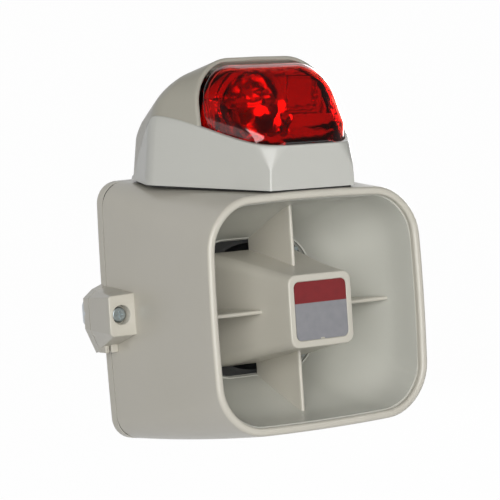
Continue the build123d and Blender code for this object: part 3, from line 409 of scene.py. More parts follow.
def onTop(x, back, up):
    # From the strobe's own axes (right, back along the sloped top, up from it) to the siren's
    x, back, up = np.broadcast_arrays(x, back, up)
    y = -case["depth"] + back * math.cos(slope) - up * math.sin(slope)
    z = case["mouthHeight"] / 2 + back * math.sin(slope) + up * math.cos(slope)
    return np.stack([x, y, z], -1)


def stood(points):
    return onTop(*np.moveaxis(points, -1, 0))


def strobeLoop(height, inset):
    # Six-sided plan that shrinks by height x tan(lean) as the walls lean in; heights and insets may be arrays
    p = strobePlan
    height, inset = np.broadcast_arrays(np.asarray(height, float), np.asarray(inset, float))
    corners = np.array([
        (-p["frontHalf"], p["front"]), (p["frontHalf"], p["front"]), (p["sideHalf"], p["side"]),
        (p["rearHalf"], p["rear"]), (-p["rearHalf"], p["rear"]), (-p["sideHalf"], p["side"]),
    ])
    lean = math.tan(math.radians(p["skirtLean"])) * np.minimum(height, p["leanChange"])
    lean = lean + math.tan(math.radians(p["upperLean"])) * np.maximum(height - p["leanChange"], 0)
    grown = np.clip((height - p["roundFrom"]) / (p["roundTo"] - p["roundFrom"]), 0, 1)
    front = between(*p["frontRound"], grown)
    side, rear = (np.ones_like(height) * p[key] for key in ("sideRound", "rearRound"))
    radii = np.stack([front, front, side, rear, rear, side], -1)
    moved = insetPolygon(np.broadcast_to(corners, (*height.shape, 6, 2)), (lean + inset)[..., None, None])
    return roundedPolygon(moved, radii, planSide, planTurn)


def strobeRing(height, inset):
    # The same loop with its own height and inset at each point round it
    index = np.arange(6 * planEach)
    height, inset = (np.broadcast_to(np.asarray(v, float), index.shape) for v in (height, inset))
    plan = strobeLoop(height, inset)[index, index]
    return onTop(plan[:, 0], plan[:, 1], height)


def strobePad():
    # Flat plate under the strobe, as thick as the case's wall and in the plane of its sloped top
    plan, low = strobeLoop(0.0, strobePlan["padInset"]), -case["wall"]
    top, bottom = onTop(*plan.T, 0.0), onTop(*plan.T, low)
    middle, under = onTop(0.0, strobePlan["middle"], 0.0), onTop(0.0, strobePlan["middle"], low)
    return np.array(toCentre(top, (0, 0.5), middle) + [top, bottom] + toCentre(bottom, (0.5, 0), under))


caseLook = {
    # warm grey-white ABS: milky, soft gloss, barely cloudy; sizes in mm
    "colour": "#bbb7ac", "shade": "#b9b5a9", "cloudSize": 50.0, "smudgeSize": 40.0, "roughness": (0.3, 0.33),
    "peelSize": 1.2, "peelStrength": 0.02, "peelDepth": 0.03,
}
casePlastic = mouldedPlastic("warmGreyABS", caseLook)
hands = (-1, 1)
housing = joinGrids("frontHousing", [
    (caseShell(), True, True),
    *[(lugShape(hand), True, True) for hand in hands],
    (strobePad(), True, False),
    *[(tabShape(hand, *side), True, False) for hand in hands for side in tab["sides"]],
])
finishPiece(housing, casePlastic, "front_housing")


bell = {
    "levels": (52.0, 60.0, 76.0, 99.0, 120.0), "halfWidth": (37.6, 42.0, 51.5, 61.7, 65.2),
    "halfHeight": (38.4, 41.6, 48.6, 57.2, 60.2), "corner": (20.0, 21.0, 23.0, 24.0, 23.0),
    "bow": (0.2, 0.4, 1.0, 1.6, 1.9), "wall": 1.7, "flange": 50.5, "flangeThick": 3.0,
}
centreBody = {
    "levels": (54.0, 76.0, 99.0, 123.2), "halfWidth": (31.5, 27.2, 23.2, 20.4),
    "halfHeight": (32.5, 28.4, 23.8, 19.85), "corner": (7.0, 6.5, 6.0, 5.0), "bow": (0.3, 0.3, 0.2, 0.1),
    "wall": 2.0, "frontWall": 3.5, "edge": 0.8, "finThick": 2.2, "finFront": 99.0, "finSink": 0.35,
    "labelWidth": 34.0, "labelHeight": 32.2, "labelCorner": 3.4, "labelDepth": 1.0, "labelChamfer": 0.25,
}


def hornLoop(horn, level, growth):
    # Section of the bell or the centre body, each of its sizes a smooth curve through the ones at its levels
    halfWidth, halfHeight, corner, bow = (
        smoothThrough(horn["levels"], horn[k], level) for k in ("halfWidth", "halfHeight", "corner", "bow")
    )
    return bowedLoop(halfWidth + growth, halfHeight + growth, -halfHeight - growth, corner + growth, bow)


def bellShape():
    # The section carried from mouth to throat, and back again larger by the wall
    levels = np.linspace(bell["levels"][-1], bell["levels"][0], 46)
    inside = [atLevel(hornLoop(bell, v, 0), v) for v in levels]
    outside = [atLevel(hornLoop(bell, v, bell["wall"]), v) for v in levels[::-1]]
    return np.array(inside + outside)


def flangeShape():
    # Flat ring from the bell's rear edge out to a circle
    low, high = bell["levels"][0], bell["levels"][0] + bell["flangeThick"]
    inner = hornLoop(bell, low, bell["wall"] / 2)
    outer = bell["flange"] * inner / np.linalg.norm(inner, axis=-1, keepdims=True)
    profile = ((inner, low), (outer, low), (outer, high), (inner, high))
    return np.array([atLevel(loop, level) for loop, level in profile])


def centreBodyShape():
    # The section carried forward to a rounded edge, then in to the label's recess with its chamfered rim; the
    # inside is the same section smaller by the wall
    b = centreBody
    rear, front, edge, chamfer = b["levels"][0], b["levels"][-1], b["edge"], b["labelChamfer"]
    floor, innerFront = front - b["labelDepth"], front - b["frontWall"]
    rows = [atLevel(hornLoop(b, v, 0), v) for v in np.linspace(rear, front - edge, 36)]
    for s, c in quarterTurn(6)[1:]:
        level = front - edge + edge * s
        rows.append(atLevel(hornLoop(b, level, -(edge - edge * c)), level))
    half, high = b["labelWidth"] / 2, b["labelHeight"] / 2
    rim = bowedLoop(half + chamfer, high + chamfer, -high - chamfer, b["labelCorner"] + chamfer, 0.0)
    recess = bowedLoop(half, high, -high, b["labelCorner"], 0.0)
    rows += [atLevel(rim, front), atLevel(recess, front - chamfer), atLevel(recess, floor)]
    rows += toCentre(rows[-1], (0.5, 0), np.array([0, -floor, 0]))
    inner = [atLevel(hornLoop(b, v, -b["wall"]), v) for v in np.linspace(rear, innerFront, 14)]
    inner += toCentre(inner[-1], (0.5, 0), np.array([0, -innerFront, 0]))
    return np.array(inner[::-1] + rows)


def finShape(turn):
    # A flat plate from inside the centre body's wall to just inside the bell's, its front edge rounded; turn
    # counts quarter turns
    b = centreBody
    upright = turn % 2 == 0
    half, steps = b["finThick"] / 2, 12
    front = b["finFront"] - half
    stations = [(v, half) for v in np.linspace(b["levels"][0], front, 20)]
    stations += [(front + half * s, half * c) for s, c in quarterTurn(6)][1:]
    level, thick = np.array(stations).T
    key = "halfHeight" if upright else "halfWidth"
    outer = smoothThrough(bell["levels"], bell[key], level) + b["finSink"]
    inner = smoothThrough(b["levels"], b[key], level) - b["wall"] / 2
    near = between(inner[:, None], outer[:, None], np.linspace(0, 1, steps))
    radial = np.concatenate([near, near[:, ::-1]], 1)
    across = np.repeat([1.0, -1.0], steps) * thick[:, None]
    depth = np.broadcast_to(-level[:, None], radial.shape)
    x, z = (across, radial) if upright else (radial, across)
    sign = 1 if turn < 2 else -1
    rows = np.stack([x * sign, depth, z * sign], -1)
    rearPole = np.broadcast_to(rows[:1].mean(1, keepdims=True), rows[:1].shape)
    return np.concatenate([rearPole, rows])


hornBell = joinGrids("hornBell", [(bellShape(), True, True), (flangeShape(), True, True)])
# the same ABS as the case, a little cooler and glossier inside the mouth
bellLook = {**caseLook, "colour": "#b9b9b1", "shade": "#b7b7ae", "roughness": (0.24, 0.26)}
finishPiece(hornBell, mouldedPlastic("coolGreyABS", bellLook), "horn_bell")
fins = [(finShape(turn), True, False) for turn in range(4)]
reflexHorn = joinGrids("reflexHorn", [(centreBodyShape(), True, False)] + fins)
finishPiece(reflexHorn, casePlastic, "reflex_horn")


skirt = {
    "wall": 2.2, "frontHeight": 24.8, "back": (72.0, 39.5), "foot": (102.0, 3.0), "blend": 1.5,
    "low": 1.0, "floor": 3.0, "edge": 0.8,
}


def skirtTop(back):
    # Rises from the front to the back as 3 t^2 - 2 t^3, then falls straight to the foot. The two meet as a
    # soft minimum: -blend x log(e^(-rise / blend) + e^(-fall / blend))
    rise = between(skirt["frontHeight"], skirt["back"][1], smooth(back / skirt["back"][0]))
    (s0, h0), (s1, h1) = skirt["back"], skirt["foot"]
    fall = h0 + (back - s0) * (h1 - h0) / (s1 - s0)
    blend = skirt["blend"]
    return np.maximum(-blend * np.logaddexp(-rise / blend, -fall / blend), skirt["floor"])


def skirtRim(inset):
    # Height of the rim above each point of the plan, found by going up and down the leaning wall
    firstHeight, rounds = 30.0, 30
    index = np.arange(6 * planEach)
    height = np.full(len(index), firstHeight)
    for _ in range(rounds):
        height = skirtTop(strobeLoop(height, inset)[index, index][:, 1])
    return height


def skirtShape():
    # The plan's loop carried up the outside to the rim, over its rounded edges, down the inside and across
    k = skirt
    half = k["edge"] / 2
    top, inner = skirtRim(0.0), skirtRim(k["wall"])
    soft = np.minimum(k["edge"], (top - k["low"]) / 3)
    rows = [strobeRing(between(k["low"], top - soft, t), 0.0) for t in np.linspace(0, 1, 16)]
    rows += [strobeRing(top - soft + soft * s, soft * (1 - c)) for s, c in quarterTurn(5)][1:]
    rows += [strobeRing(inner - half + half * c, k["wall"] - half + half * s) for s, c in quarterTurn(5)]
    floor = np.minimum(inner - half, k["floor"])
    rows += [strobeRing(between(inner - half, floor, t), k["wall"]) for t in (0.5, 1)]
    high, low = (onTop(0.0, strobePlan["middle"], k[key]) for key in ("floor", "low"))
    rows += toCentre(rows[-1], (0.5, 0), high)
    return np.array(toCentre(rows[0], (0, 0.5), low) + rows)


def halfWidthAt(back, up, inset):
    # Half the strobe's width at a distance back and a height, read between loops at even heights
    apart = 2.0
    heights = np.arange(0, strobePlan["highest"], apart)
    widths = []
    for height in heights:
        rightSide = strobeLoop(height, inset)[planEach:3 * planEach + planTurn]
        order = np.maximum.accumulate(rightSide[:, 1])
        widths.append(np.interp(back, order, rightSide[:, 0], left=0, right=0))
    widths = np.array(widths)
    place = np.clip(up / apart, 0, len(heights) - 1.001)
    i = place.astype(int)
    share = place - i
    grid = np.indices(up.shape)
    return widths[(i, *grid)] * (1 - share) + widths[(i + 1, *grid)] * share


def evenSteps(path, count):
    # Points evenly spaced along a path
    length = np.concatenate([[0], np.cumsum(np.linalg.norm(np.diff(path, axis=0), axis=1))])
    even = np.linspace(0, length[-1], count)
    return np.stack([np.interp(even, length, path[:, 0]), np.interp(even, length, path[:, 1])], -1)


def roundPath(points, radii, spacing):
    # An open path of straight runs whose corners are parabolas, then spaced about evenly
    points = np.asarray(points, float)
    out = [points[:1]]
    for before, corner, after, radius in zip(points, points[1:], points[2:], radii):
        a, b = before - corner, after - corner
        a, b = a / np.linalg.norm(a), b / np.linalg.norm(b)
        t = np.linspace(0, 1, 14)[:, None]
        first, last = corner + a * radius, corner + b * radius
        out.append((1 - t) ** 2 * first + 2 * t * (1 - t) * corner + t**2 * last)
    out.append(points[-1:])
    path = np.concatenate(out)
    length = np.linalg.norm(np.diff(path, axis=0), axis=1).sum()
    return evenSteps(path, int(length / spacing))


# The most that a roof's rounded edge may take of its wall's height and of its half width, and its points
roof = {"ofHeight": 0.75, "ofWidth": 0.8, "wallSteps": 22, "edgeSteps": 15, "topSteps": 24}


def roofShape(path, slant, edgeRound, inset, foot, drawIn=None):
    # Sections across the strobe, one for each point of the roof's side profile: up the leaning wall, round
    # the edge, over to the middle, and the same on the other side. slant leans a section back with the rim.
    top, height, slant, edgeRound = path[:, :1], path[:, 1:], slant[:, None], edgeRound[:, None]
    wide = halfWidthAt(top, height, inset)
    radius = np.minimum(edgeRound, roof["ofHeight"] * (height - foot))
    radius = np.minimum(radius, roof["ofWidth"] * np.maximum(wide, 1))
    wall = between(foot, height - radius, np.linspace(0, 1, roof["wallSteps"]))
    a = arc(roof["edgeSteps"] + 1)[1:]
    up = np.concatenate([wall, height - radius + radius * np.sin(a)], 1)
    inwards = np.concatenate([np.zeros_like(wall), radius * (1 - np.cos(a))], 1)
    back = top - slant * (height - up)
    if drawIn:
        inwards = inwards + drawIn(back, up)
    x = np.maximum(halfWidthAt(back, up, inset) - inwards, 0)
    over = np.linspace(1, 0, roof["topSteps"] + 1)[1:]
    x = np.concatenate([x, x[:, -1:] * over], 1)
    back, up = (np.concatenate([v, np.repeat(v[:, -1:], len(over), 1)], 1) for v in (back, up))
    half = np.stack([x, back, up], -1)
    return np.concatenate([half, half[:, -2::-1] * np.array([-1, 1, 1])], 1)


def endWall(section, foot, lean):
    # A flat end wall: the last section drawn down to the foot line
    share = np.linspace(1, 0, 9)[1:, None]
    x, back, up = section.T
    high = between(foot, up, share)
    return np.stack([np.broadcast_to(x, high.shape), back + lean * (up - high), high], -1)


def inwardPath(path, amount):
    # The side profile moved inwards along its own normal
    along = np.gradient(path, axis=0)
    along = along / np.linalg.norm(along, axis=1, keepdims=True)
    return path + amount * np.stack([along[:, 1], -along[:, 0]], -1)


def shell(outside, inside):
    # Closed wall between two matching surfaces; its first and last edges are half rounds
    rows = np.concatenate([outside, inside[:, ::-1]], 1)
    middle = (outside + inside) / 2
    middle = np.concatenate([middle, middle[:, ::-1]], 1)

    def lip(end, second):
        ahead = middle[end] - middle[second]
        ahead = ahead / np.maximum(np.linalg.norm(ahead, axis=-1, keepdims=True), 1e-6)
        out = rows[end] - middle[end]
        half = np.linalg.norm(out, axis=-1, keepdims=True)
        return [middle[end] + out * c + ahead * half * s for s, c in quarterTurn(6)[1:]]

    return np.concatenate([lip(0, 1)[::-1], rows, lip(-1, -2)])


# The hood's front edge in side view, as (back, up)
rim = {"low": (46.5, 39.5), "high": (57.92, 70.28)}
rimSlant = (rim["high"][0] - rim["low"][0]) / (rim["high"][1] - rim["low"][1])
hood = {
    "inset": 0.8, "wall": 2.2, "shoulder": (82.5, 47.5), "tail": (106.0, 25.0), "foot": 3.0,
    "edgeBehindRim": (0.0, 9.0, 40.0), "edge": (24.0, 13.0, 5.0), "last": ((108.5, 20.0), (110.6, 12.0)),
    "slantOver": 40.0, "tailLean": 0.07,
}
lens = {
    "inset": 2.6, "bulge": 2.1, "bulgeFrom": 0.5, "bulgeRise": 7.0, "wall": 2.2, "foot": 18.5,
    "front": (6.6, 26.0), "brow": (42.5, 66.2), "crest": (53.0, 66.9), "step": (55.4, 64.6),
    "tail": (61.5, 64.4), "under": (61.5, 66.6), "rounds": (10.0, 1.4, 1.2), "spacing": 0.6,
    "tuckFrom": 51.0, "tuckOver": 4.4, "tuckOutside": 1.8, "tuckInside": 0.4,
    "edgeAlong": (0.0, 0.7, 1.0), "edge": (9.0, 15.0, 20.0), "pillow": (8.0, 9.0), "pillowDepth": 0.1,
}


def rimAt(up):
    return rim["high"][0] + rimSlant * (up - rim["high"][1])


def hoodShape():
    # Side profile: a circle through rim, shoulder and tail, then two last points. Its sections lean with the
    # rim, less and less over the first stretch behind it.
    h = hood
    p, q, r = np.array([rim["high"], h["shoulder"], h["tail"]])
    centre = np.linalg.solve(2 * np.array([q - p, r - p]), np.array([q @ q - p @ p, r @ r - p @ p]))
    radius = np.linalg.norm(p - centre)
    first, last = (math.atan2(*(v - centre)[::-1]) % (2 * math.pi) for v in (p, r))
    a = np.linspace(first, last, 40)
    curve = centre + radius * np.stack([np.cos(a), np.sin(a)], -1)
    curve[:, 1] = np.minimum(curve[:, 1], rim["high"][1])
    path = np.concatenate([curve, h["last"]])
    behind = path[:, 0] - path[0, 0]
    slant = rimSlant * (1 - np.clip(behind / h["slantOver"], 0, 1))
    edge = np.interp(behind, h["edgeBehindRim"], h["edge"])

    def surface(depth):
        line = inwardPath(path, depth)
        line[0] = (rimAt(path[0, 1] - depth), path[0, 1] - depth)
        sections = roofShape(line, slant, edge - depth, h["inset"] + depth, h["foot"])
        return stood(np.concatenate([sections, endWall(sections[-1], h["foot"], h["tailLean"])]))

    return shell(surface(0.0), surface(h["wall"]))


def lensShape():
    # The outside stands out above the skirt's edge, flush with the hood, and steps down under the hood's rim.
    # The inside carries shallow pillows: depth x sin^2(pi x across / pitch) x sin^2(pi x along / pitch)
    k = lens
    outPoints = [k["front"], k["brow"], k["crest"], k["step"], k["tail"]]
    outLine = roundPath(outPoints, k["rounds"], k["spacing"])
    inLine = roundPath([k["front"], k["brow"], k["under"]], k["rounds"][:1], k["spacing"])
    inLine = evenSteps(inwardPath(inLine, k["wall"]), len(outLine))
    share = np.clip((outLine[:, 0] - k["front"][0]) / (k["crest"][0] - k["front"][0]), 0, 1)
    under = smooth((outLine[:, :1] - k["tuckFrom"]) / k["tuckOver"])
    edge = np.interp(share, k["edgeAlong"], k["edge"])

    def surface(line, depth, tuck):
        def drawIn(back, up):
            above = smooth((up - skirtTop(back) - k["bulgeFrom"]) / k["bulgeRise"])
            return tuck * under - k["bulge"] * above * (1 - under)

        sections = roofShape(line, rimSlant * share, edge - depth, k["inset"] + depth, k["foot"], drawIn)
        return np.concatenate([endWall(sections[0], k["foot"], 0.0)[::-1], sections])

    outside = surface(outLine, 0.0, k["tuckOutside"])
    inside = surface(inLine, k["wall"], k["tuckInside"])
    inward = inside - outside
    inward = inward / np.maximum(np.linalg.norm(inward, axis=-1, keepdims=True), 1e-6)
    across = np.linalg.norm(np.diff(inside, axis=1), axis=-1).cumsum(1)
    across = np.concatenate([np.zeros((len(inside), 1)), across], 1) - across[:, -1:] / 2
    along = np.linalg.norm(np.diff(inside, axis=0), axis=-1).cumsum(0)
    along = np.concatenate([np.zeros((1, inside.shape[1])), along])
    wave = np.sin(math.pi * across / k["pillow"][0]) ** 2 * np.sin(math.pi * along / k["pillow"][1]) ** 2
    inside = inside + inward * (k["pillowDepth"] * wave)[..., None]
    return shell(stood(outside), stood(inside))


# cooler and glossier ABS than the case
strobeLook = {**caseLook, "colour": "#b5b5af", "shade": "#b3b3ad", "roughness": (0.25, 0.262)}
strobePlastic = mouldedPlastic("glossyGreyABS", strobeLook)
strobeBase = joinGrids("strobeBase", [(skirtShape(), True, False)])
finishPiece(strobeBase, strobePlastic, "strobe_base")
# the strobe's grey ABS painted darker and satin: painted shade for the hood, whose sides face away from the
# light
shadedHoodLook = {**caseLook, "colour": "#9c998e", "shade": "#9a978c", "roughness": (0.28, 0.292)}
strobeHood = joinGrids("strobeHood", [(hoodShape(), True, False)])
finishPiece(strobeHood, mouldedPlastic("shadedGreyABS", shadedHoodLook), "strobe_hood")

# Clouds about 17 mm across and ripples about 7 mm apart
lensLook = {
    "colour": "#e43a2c", "shade": "#dd3226", "cloudsPerMetre": 60.0, "ripplesPerMetre": 140.0,
    "rippleStrength": 0.15, "rippleDepth": 0.3, "roughness": 0.05, "ior": 1.58,
}


def redPolycarbonate(look):
    # Moulded clear red polycarbonate: deep colour through its thickness, wet gloss, faint ripples
    material, tree, shader = newMaterial("redPolycarbonate")
    place = addNode(tree, "ShaderNodeTexCoord")
    cloudedColour(tree, shader, place, look, look["cloudsPerMetre"], 2.0)
    shader.inputs["Transmission Weight"].default_value = 1.0
    shader.inputs["IOR"].default_value = look["ior"]
    shader.inputs["Roughness"].default_value = look["roughness"]
    ripple = addNode(tree, "ShaderNodeTexNoise", {"Scale": look["ripplesPerMetre"], "Detail": 1.0},
                     {"Vector": (place, "Object")})
    bump = addNode(tree, "ShaderNodeBump", {
        "Strength": look["rippleStrength"], "Distance": look["rippleDepth"] * mm,
    }, {"Height": (ripple, "Fac")})
    linkTo(tree, bump, "Normal", shader, "Normal")
    return material


strobeLens = joinGrids("strobeLens", [(lensShape(), True, False)])
finishPiece(strobeLens, redPolycarbonate(lensLook), "strobe_lens")

# panel and ribs are (left, right, low, high); the block lies right of and below its point
reflector = {
    "level": 50.0, "inset": 7.0, "foot": 27.6, "top": 63.0, "corner": 17.0, "wall": 1.4,
    "shelf": (26.0, 27.0), "lip": 22.0, "bowl": (-9.6, 43.4), "radius": 18.8, "depth": 12.5,
    "ring": 3.7, "ringHigh": 1.6, "panel": (14.0, 35.0, 39.5, 59.5), "frame": 1.6, "frameHigh": 1.6,
    "recess": 1.2, "block": (9.5, 38.0), "blockOut": 9.0, "ribs": (-46.0, -29.0, 30.0, 48.0),
    "ribPitch": 2.6, "ribHigh": 1.3, "ribLean": 0.1, "shelfRibPitch": 3.4, "shelfRibHigh": 1.2,
    "flatness": 0.98,
}


def softStep(value):
    # 0 to 1 as 3 t^2 - 2 t^3, across 0.8 mm about zero
    return smooth(value / 0.8 + 0.5)


def reflectorRelief(x, up):
    # How far the mirrored face stands forward of its plane: bowl -depth x (1 - (distance / radius)^2), the
    # ring round it that rises outwards, a framed panel, a block below the panel and a patch of ribs
    r = reflector
    out = np.hypot(x - r["bowl"][0], up - r["bowl"][1])
    relief = -r["depth"] * np.clip(1 - (out / r["radius"]) ** 2, 0, 1)
    rise = r["ringHigh"] * np.clip((out - r["radius"]) / r["ring"], 0, 1)
    relief = relief + rise * softStep(r["radius"] + r["ring"] - out)
    left, right, low, high = r["panel"]
    within = np.minimum(np.minimum(x - left, right - x), np.minimum(up - low, high - up))
    relief = relief + r["frameHigh"] * softStep(within) * softStep(r["frame"] - within)
    relief = relief - r["recess"] * softStep(within - r["frame"])
    relief = relief + r["blockOut"] * softStep(x - r["block"][0]) * softStep(r["block"][1] - up)
    left, right, low, high = r["ribs"]
    patch = softStep(x - left) * softStep(right - x) * softStep(up - low) * softStep(high - up)
    return relief + patch * r["ribHigh"] * np.abs((x / r["ribPitch"] + up * r["ribLean"]) % 2 - 1)


def reflectorShape():
    # A lip, a shelf with ribs as a triangle wave, and a standing face less its relief, whose top corners are
    # ellipses. The wall's thickness lies below the lip and shelf, and behind the lip and face.
    r = reflector
    lipRows, shelfRows, faceRows = 5, 30, 90
    faceStart = lipRows + shelfRows
    (front, shelfUp), level = r["shelf"], r["level"]
    row = np.arange(faceStart + faceRows)[:, None]
    shelfBack = np.linspace(front, level, shelfRows)
    back = np.concatenate([np.full(lipRows, front), shelfBack, np.full(faceRows, level)])[:, None]
    lipUp = np.linspace(r["lip"], shelfUp, lipRows + 1)[:lipRows]
    faceUp = np.linspace(r["foot"], r["top"], faceRows)
    up = np.concatenate([lipUp, np.full(shelfRows, shelfUp), faceUp])[:, None]
    over = np.clip((up - r["top"] + r["corner"]) / r["corner"], 0, 1)
    wide = halfWidthAt(back, up, r["inset"]) - r["corner"] * (1 - np.sqrt(1 - r["flatness"] * over**2))
    x = np.linspace(-1, 1, 220) * wide
    ribs = r["shelfRibHigh"] * np.abs(x / r["shelfRibPitch"] % 2 - 1)
    standing = row >= faceStart
    lying = (row >= lipRows) & ~standing
    face = np.stack([x, back - standing * reflectorRelief(x, up), up + lying * ribs], -1)
    drop = np.where(standing, 0.0, -r["wall"])
    behind = np.where((row < lipRows) | (row >= faceStart - 1), r["wall"], 0.0)
    return shell(stood(face), stood(face + np.stack([0 * drop, behind, drop], -1)))


# vacuum-metallised ABS: a near mirror, a little wavy
mirrorLook = {
    "colour": "#dcdddf", "shade": "#d4d5d8", "cloudSize": 12.0, "roughness": (0.08, 0.16),
    "linesPerMetre": (300.0, 300.0, 300.0), "lineStrength": 0.15, "lineDepth": 0.03,
}
metallised = brushedMetal("metallisedABS", mirrorLook)
strobeReflector = joinGrids("strobeReflector", [(reflectorShape(), True, False)], 30.0)
finishPiece(strobeReflector, metallised, "strobe_reflector")


def finishSlot(slot, material):
    # Kept CAD pieces take the material of their slot
    for part in frame["record"]["subparts"]:
        if part["material_slot"] == slot:
            piece = frame["nodes"][part["node"]]
            piece.data.materials.clear()
            piece.data.materials.append(material)


# Lines 5 mm long and 0.33 mm apart, coarser than real ones so that they show
metalLook = {
    "cloudSize": 10.0, "roughness": (0.25, 0.4), "linesPerMetre": (200.0, 3000.0, 3000.0),
    "lineStrength": 0.15, "lineDepth": 0.03,
}
# plated screws: a darker, bluish grey
screwSteel = brushedMetal("platedScrewSteel", {**metalLook, "colour": "#9aa2a3", "shade": "#858d8f"})
finishSlot("screw_steel", screwSteel)
for slot, name, colour, shade in [
    ("zinc_steel", "zincPlatedSteel", "#c4c7ca", "#b4b8bc"),  # plated sheet: pale grey, faintly clouded
    ("sink_aluminium", "millAluminium", "#d5d7d9", "#c9cbce"),  # as rolled: the palest and most even
    ("copper_wire", "enamelledCopper", "#c8743f", "#a85c30"),  # lacquered wire: orange brown
    ("tinned_brass", "tinnedBrass", "#d9d4c4", "#cfc8b2"),  # dipped: silver with a yellow cast
]:
    finishSlot(slot, brushedMetal(name, {**metalLook, "colour": colour, "shade": shade}))
finishSlot("case_plastic", casePlastic)
finishSlot("strobe_plastic", strobePlastic)
finishSlot("reflector_chrome", metallised)
smallLook = {
    "cloudSize": 10.0, "smudgeSize": 10.0, "peelSize": 0.5, "peelStrength": 0.1, "peelDepth": 0.04,
}
for slot, name, colour, shade, roughness in [
    ("black_plastic", "blackABS", "#1b1c1d", "#161717", (0.3, 0.45)),  # moulded: near black, soft sheen
    ("seal_rubber", "blackEPDM", "#1d1d1d", "#181818", (0.6, 0.75)),  # moulded rubber: black, nearly matt
    ("diaphragm_resin", "phenolicCloth", "#6a3f20", "#553218", (0.4, 0.6)),  # pressed cloth: dull brown
    ("ferrite", "sinteredFerrite", "#2b2b2e", "#232326", (0.5, 0.65)),  # sintered: charcoal, dull
    ("circuit_board", "solderMask", "#1d6b38", "#185c30", (0.3, 0.4)),  # coated board: green, satin
    ("capacitor_sleeve", "shrunkSleeve", "#20242e", "#191c25", (0.25, 0.35)),  # shrunk film: dark, glossy
    ("terminal_green", "greenPolyamide", "#2c8f4b", "#247a3f", (0.3, 0.4)),  # moulded: mid green, satin
    ("switch_red", "redAcetal", "#b8241c", "#a01d17", (0.25, 0.35)),  # moulded: red, a waxy gloss
]:
    look = {**smallLook, "colour": colour, "shade": shade, "roughness": roughness}
    finishSlot(slot, mouldedPlastic(name, look))

labelLook = {
    "bandFrom": 4.2, "band": ("#6c0f13", "#741216"), "ground": ("#7c7c80", "#828285"), "mottleSize": 4.0,
    "roughness": 0.35,
}


def printedPlate(look):
    # Printed aluminium plate: a dark red band over plain satin grey, with a faint mottle
    material, tree, shader = newMaterial("printedPlate")
    place = addNode(tree, "ShaderNodeTexCoord")
    height = addNode(tree, "ShaderNodeSeparateXYZ", links={"Vector": (place, "Object")})
    above = addNode(tree, "ShaderNodeMath", {"operation": "GREATER_THAN", 1: look["bandFrom"] * mm},
                    {0: (height, "Z")})
    mottle = addNode(tree, "ShaderNodeTexNoise", {"Scale": perMetre(look["mottleSize"]), "Detail": 2.0},
                     {"Vector": (place, "Object")})
    ground, band = (addNode(tree, "ShaderNodeValToRGB", links={"Fac": (mottle, "Fac")}) for _ in range(2))
    rampStops(ground, *look["ground"])
    rampStops(band, *look["band"])
    # inputs 6 and 7 are the two colours to mix, and output 2 the mixed one
    mixed = addNode(tree, "ShaderNodeMix", {"data_type": "RGBA"})
    linkTo(tree, above, 0, mixed, "Factor")
    linkTo(tree, ground, "Color", mixed, 6)
    linkTo(tree, band, "Color", mixed, 7)
    linkTo(tree, mixed, 2, shader, "Base Color")
    shader.inputs["Roughness"].default_value = look["roughness"]
    return material


tubeLook = {"colour": "#f4f8f8", "streakSize": 2.5, "roughness": (0.0, 0.06), "ior": 1.46}


def quartzGlass(look):
    # Drawn clear quartz tube: all but invisible apart from its shine, with a trace of streaks in it
    material, tree, shader = newMaterial("quartzGlass")
    place = addNode(tree, "ShaderNodeTexCoord")
    streaks = addNode(tree, "ShaderNodeTexNoise", {"Scale": perMetre(look["streakSize"]), "Detail": 2.0},
                      {"Vector": (place, "Object")})
    gloss = addNode(tree, "ShaderNodeMapRange", {
        "To Min": look["roughness"][0], "To Max": look["roughness"][1],
    }, {"Value": (streaks, "Fac")})
    linkTo(tree, gloss, "Result", shader, "Roughness")
    shader.inputs["Base Color"].default_value = toLinear(look["colour"])
    shader.inputs["Transmission Weight"].default_value = 1.0
    shader.inputs["IOR"].default_value = look["ior"]
    return material


finishSlot("label", printedPlate(labelLook))
finishSlot("tube_glass", quartzGlass(tubeLook))
print("finished the kept pieces")

spring = {"turns": 5, "wire": 0.35, "radius": 2.9, "overlap": 0.7}


def springShape(low, high):
    # Round wire along a helix, radius x (cos t, sin t), that climbs evenly between the ends of its box
    k = spring
    centre = (low + high) / 2
    t = np.linspace(0, 2 * math.pi * k["turns"], 40 * k["turns"] + 1)[:, None]
    climb = between(high[1] - k["wire"], low[1] + k["wire"], t / t[-1])
    turn = np.linspace(0, 2 * math.pi, 11)[:-1]
    out = k["radius"] + k["wire"] * np.cos(turn)
    rows = np.stack([
        centre[0] + out * np.cos(t), climb + k["wire"] * np.sin(turn), centre[2] + out * np.sin(t),
    ], -1)
    first, last = (np.broadcast_to(rows[i].mean(0), (1, *rows[i].shape)) for i in (0, -1))
    return np.concatenate([first, rows, last])


# Coils between plunger and case, in the CAD spring's box
springLow, springHigh = (np.array(c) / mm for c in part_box("tamper_spring"))
tamperSpring = joinGrids("tamperSpring", [(springShape(springLow, springHigh), True, False)])
tamperSpring.data.materials.append(screwSteel)
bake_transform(tamperSpring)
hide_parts("tamper_spring")
print("made tamperSpring")


# In metres; white is how bright the paper looks, and whiteShare how much of it hides the shadows
studio = {
    "floor": -0.36, "floorSize": 12.0, "curveFrom": 2.0, "curveRadius": 1.5, "top": 6.0,
    "paper": "#c8c8c8", "paperRoughness": 0.9, "white": 1.0, "whiteShare": 0.985,
}
# Each is its place, the point it faces, its size in metres and its power in watts
lamps = {
    "key": ((-1.05, -1.8, 0.3), (0, -0.06, 0.02), (1.9, 1.5), 46),
    "fill": ((1.1, -1.7, 0.6), (0, -0.06, 0.03), (1.5, 0.8), 4),
    "spark": ((-0.35, -1.6, 0.3), (0, -0.06, 0.03), (0.12, 0.12), 1.5),
    "rear": ((2.0, 1.5, 0.5), (0, -0.03, 0.03), (1.0, 1.0), 20),
}
# How bright the room's air is at its walls, and at its ceiling from that height of the view upwards
room = {"walls": 0.22, "ceiling": 0.07, "ceilingFrom": 0.7}
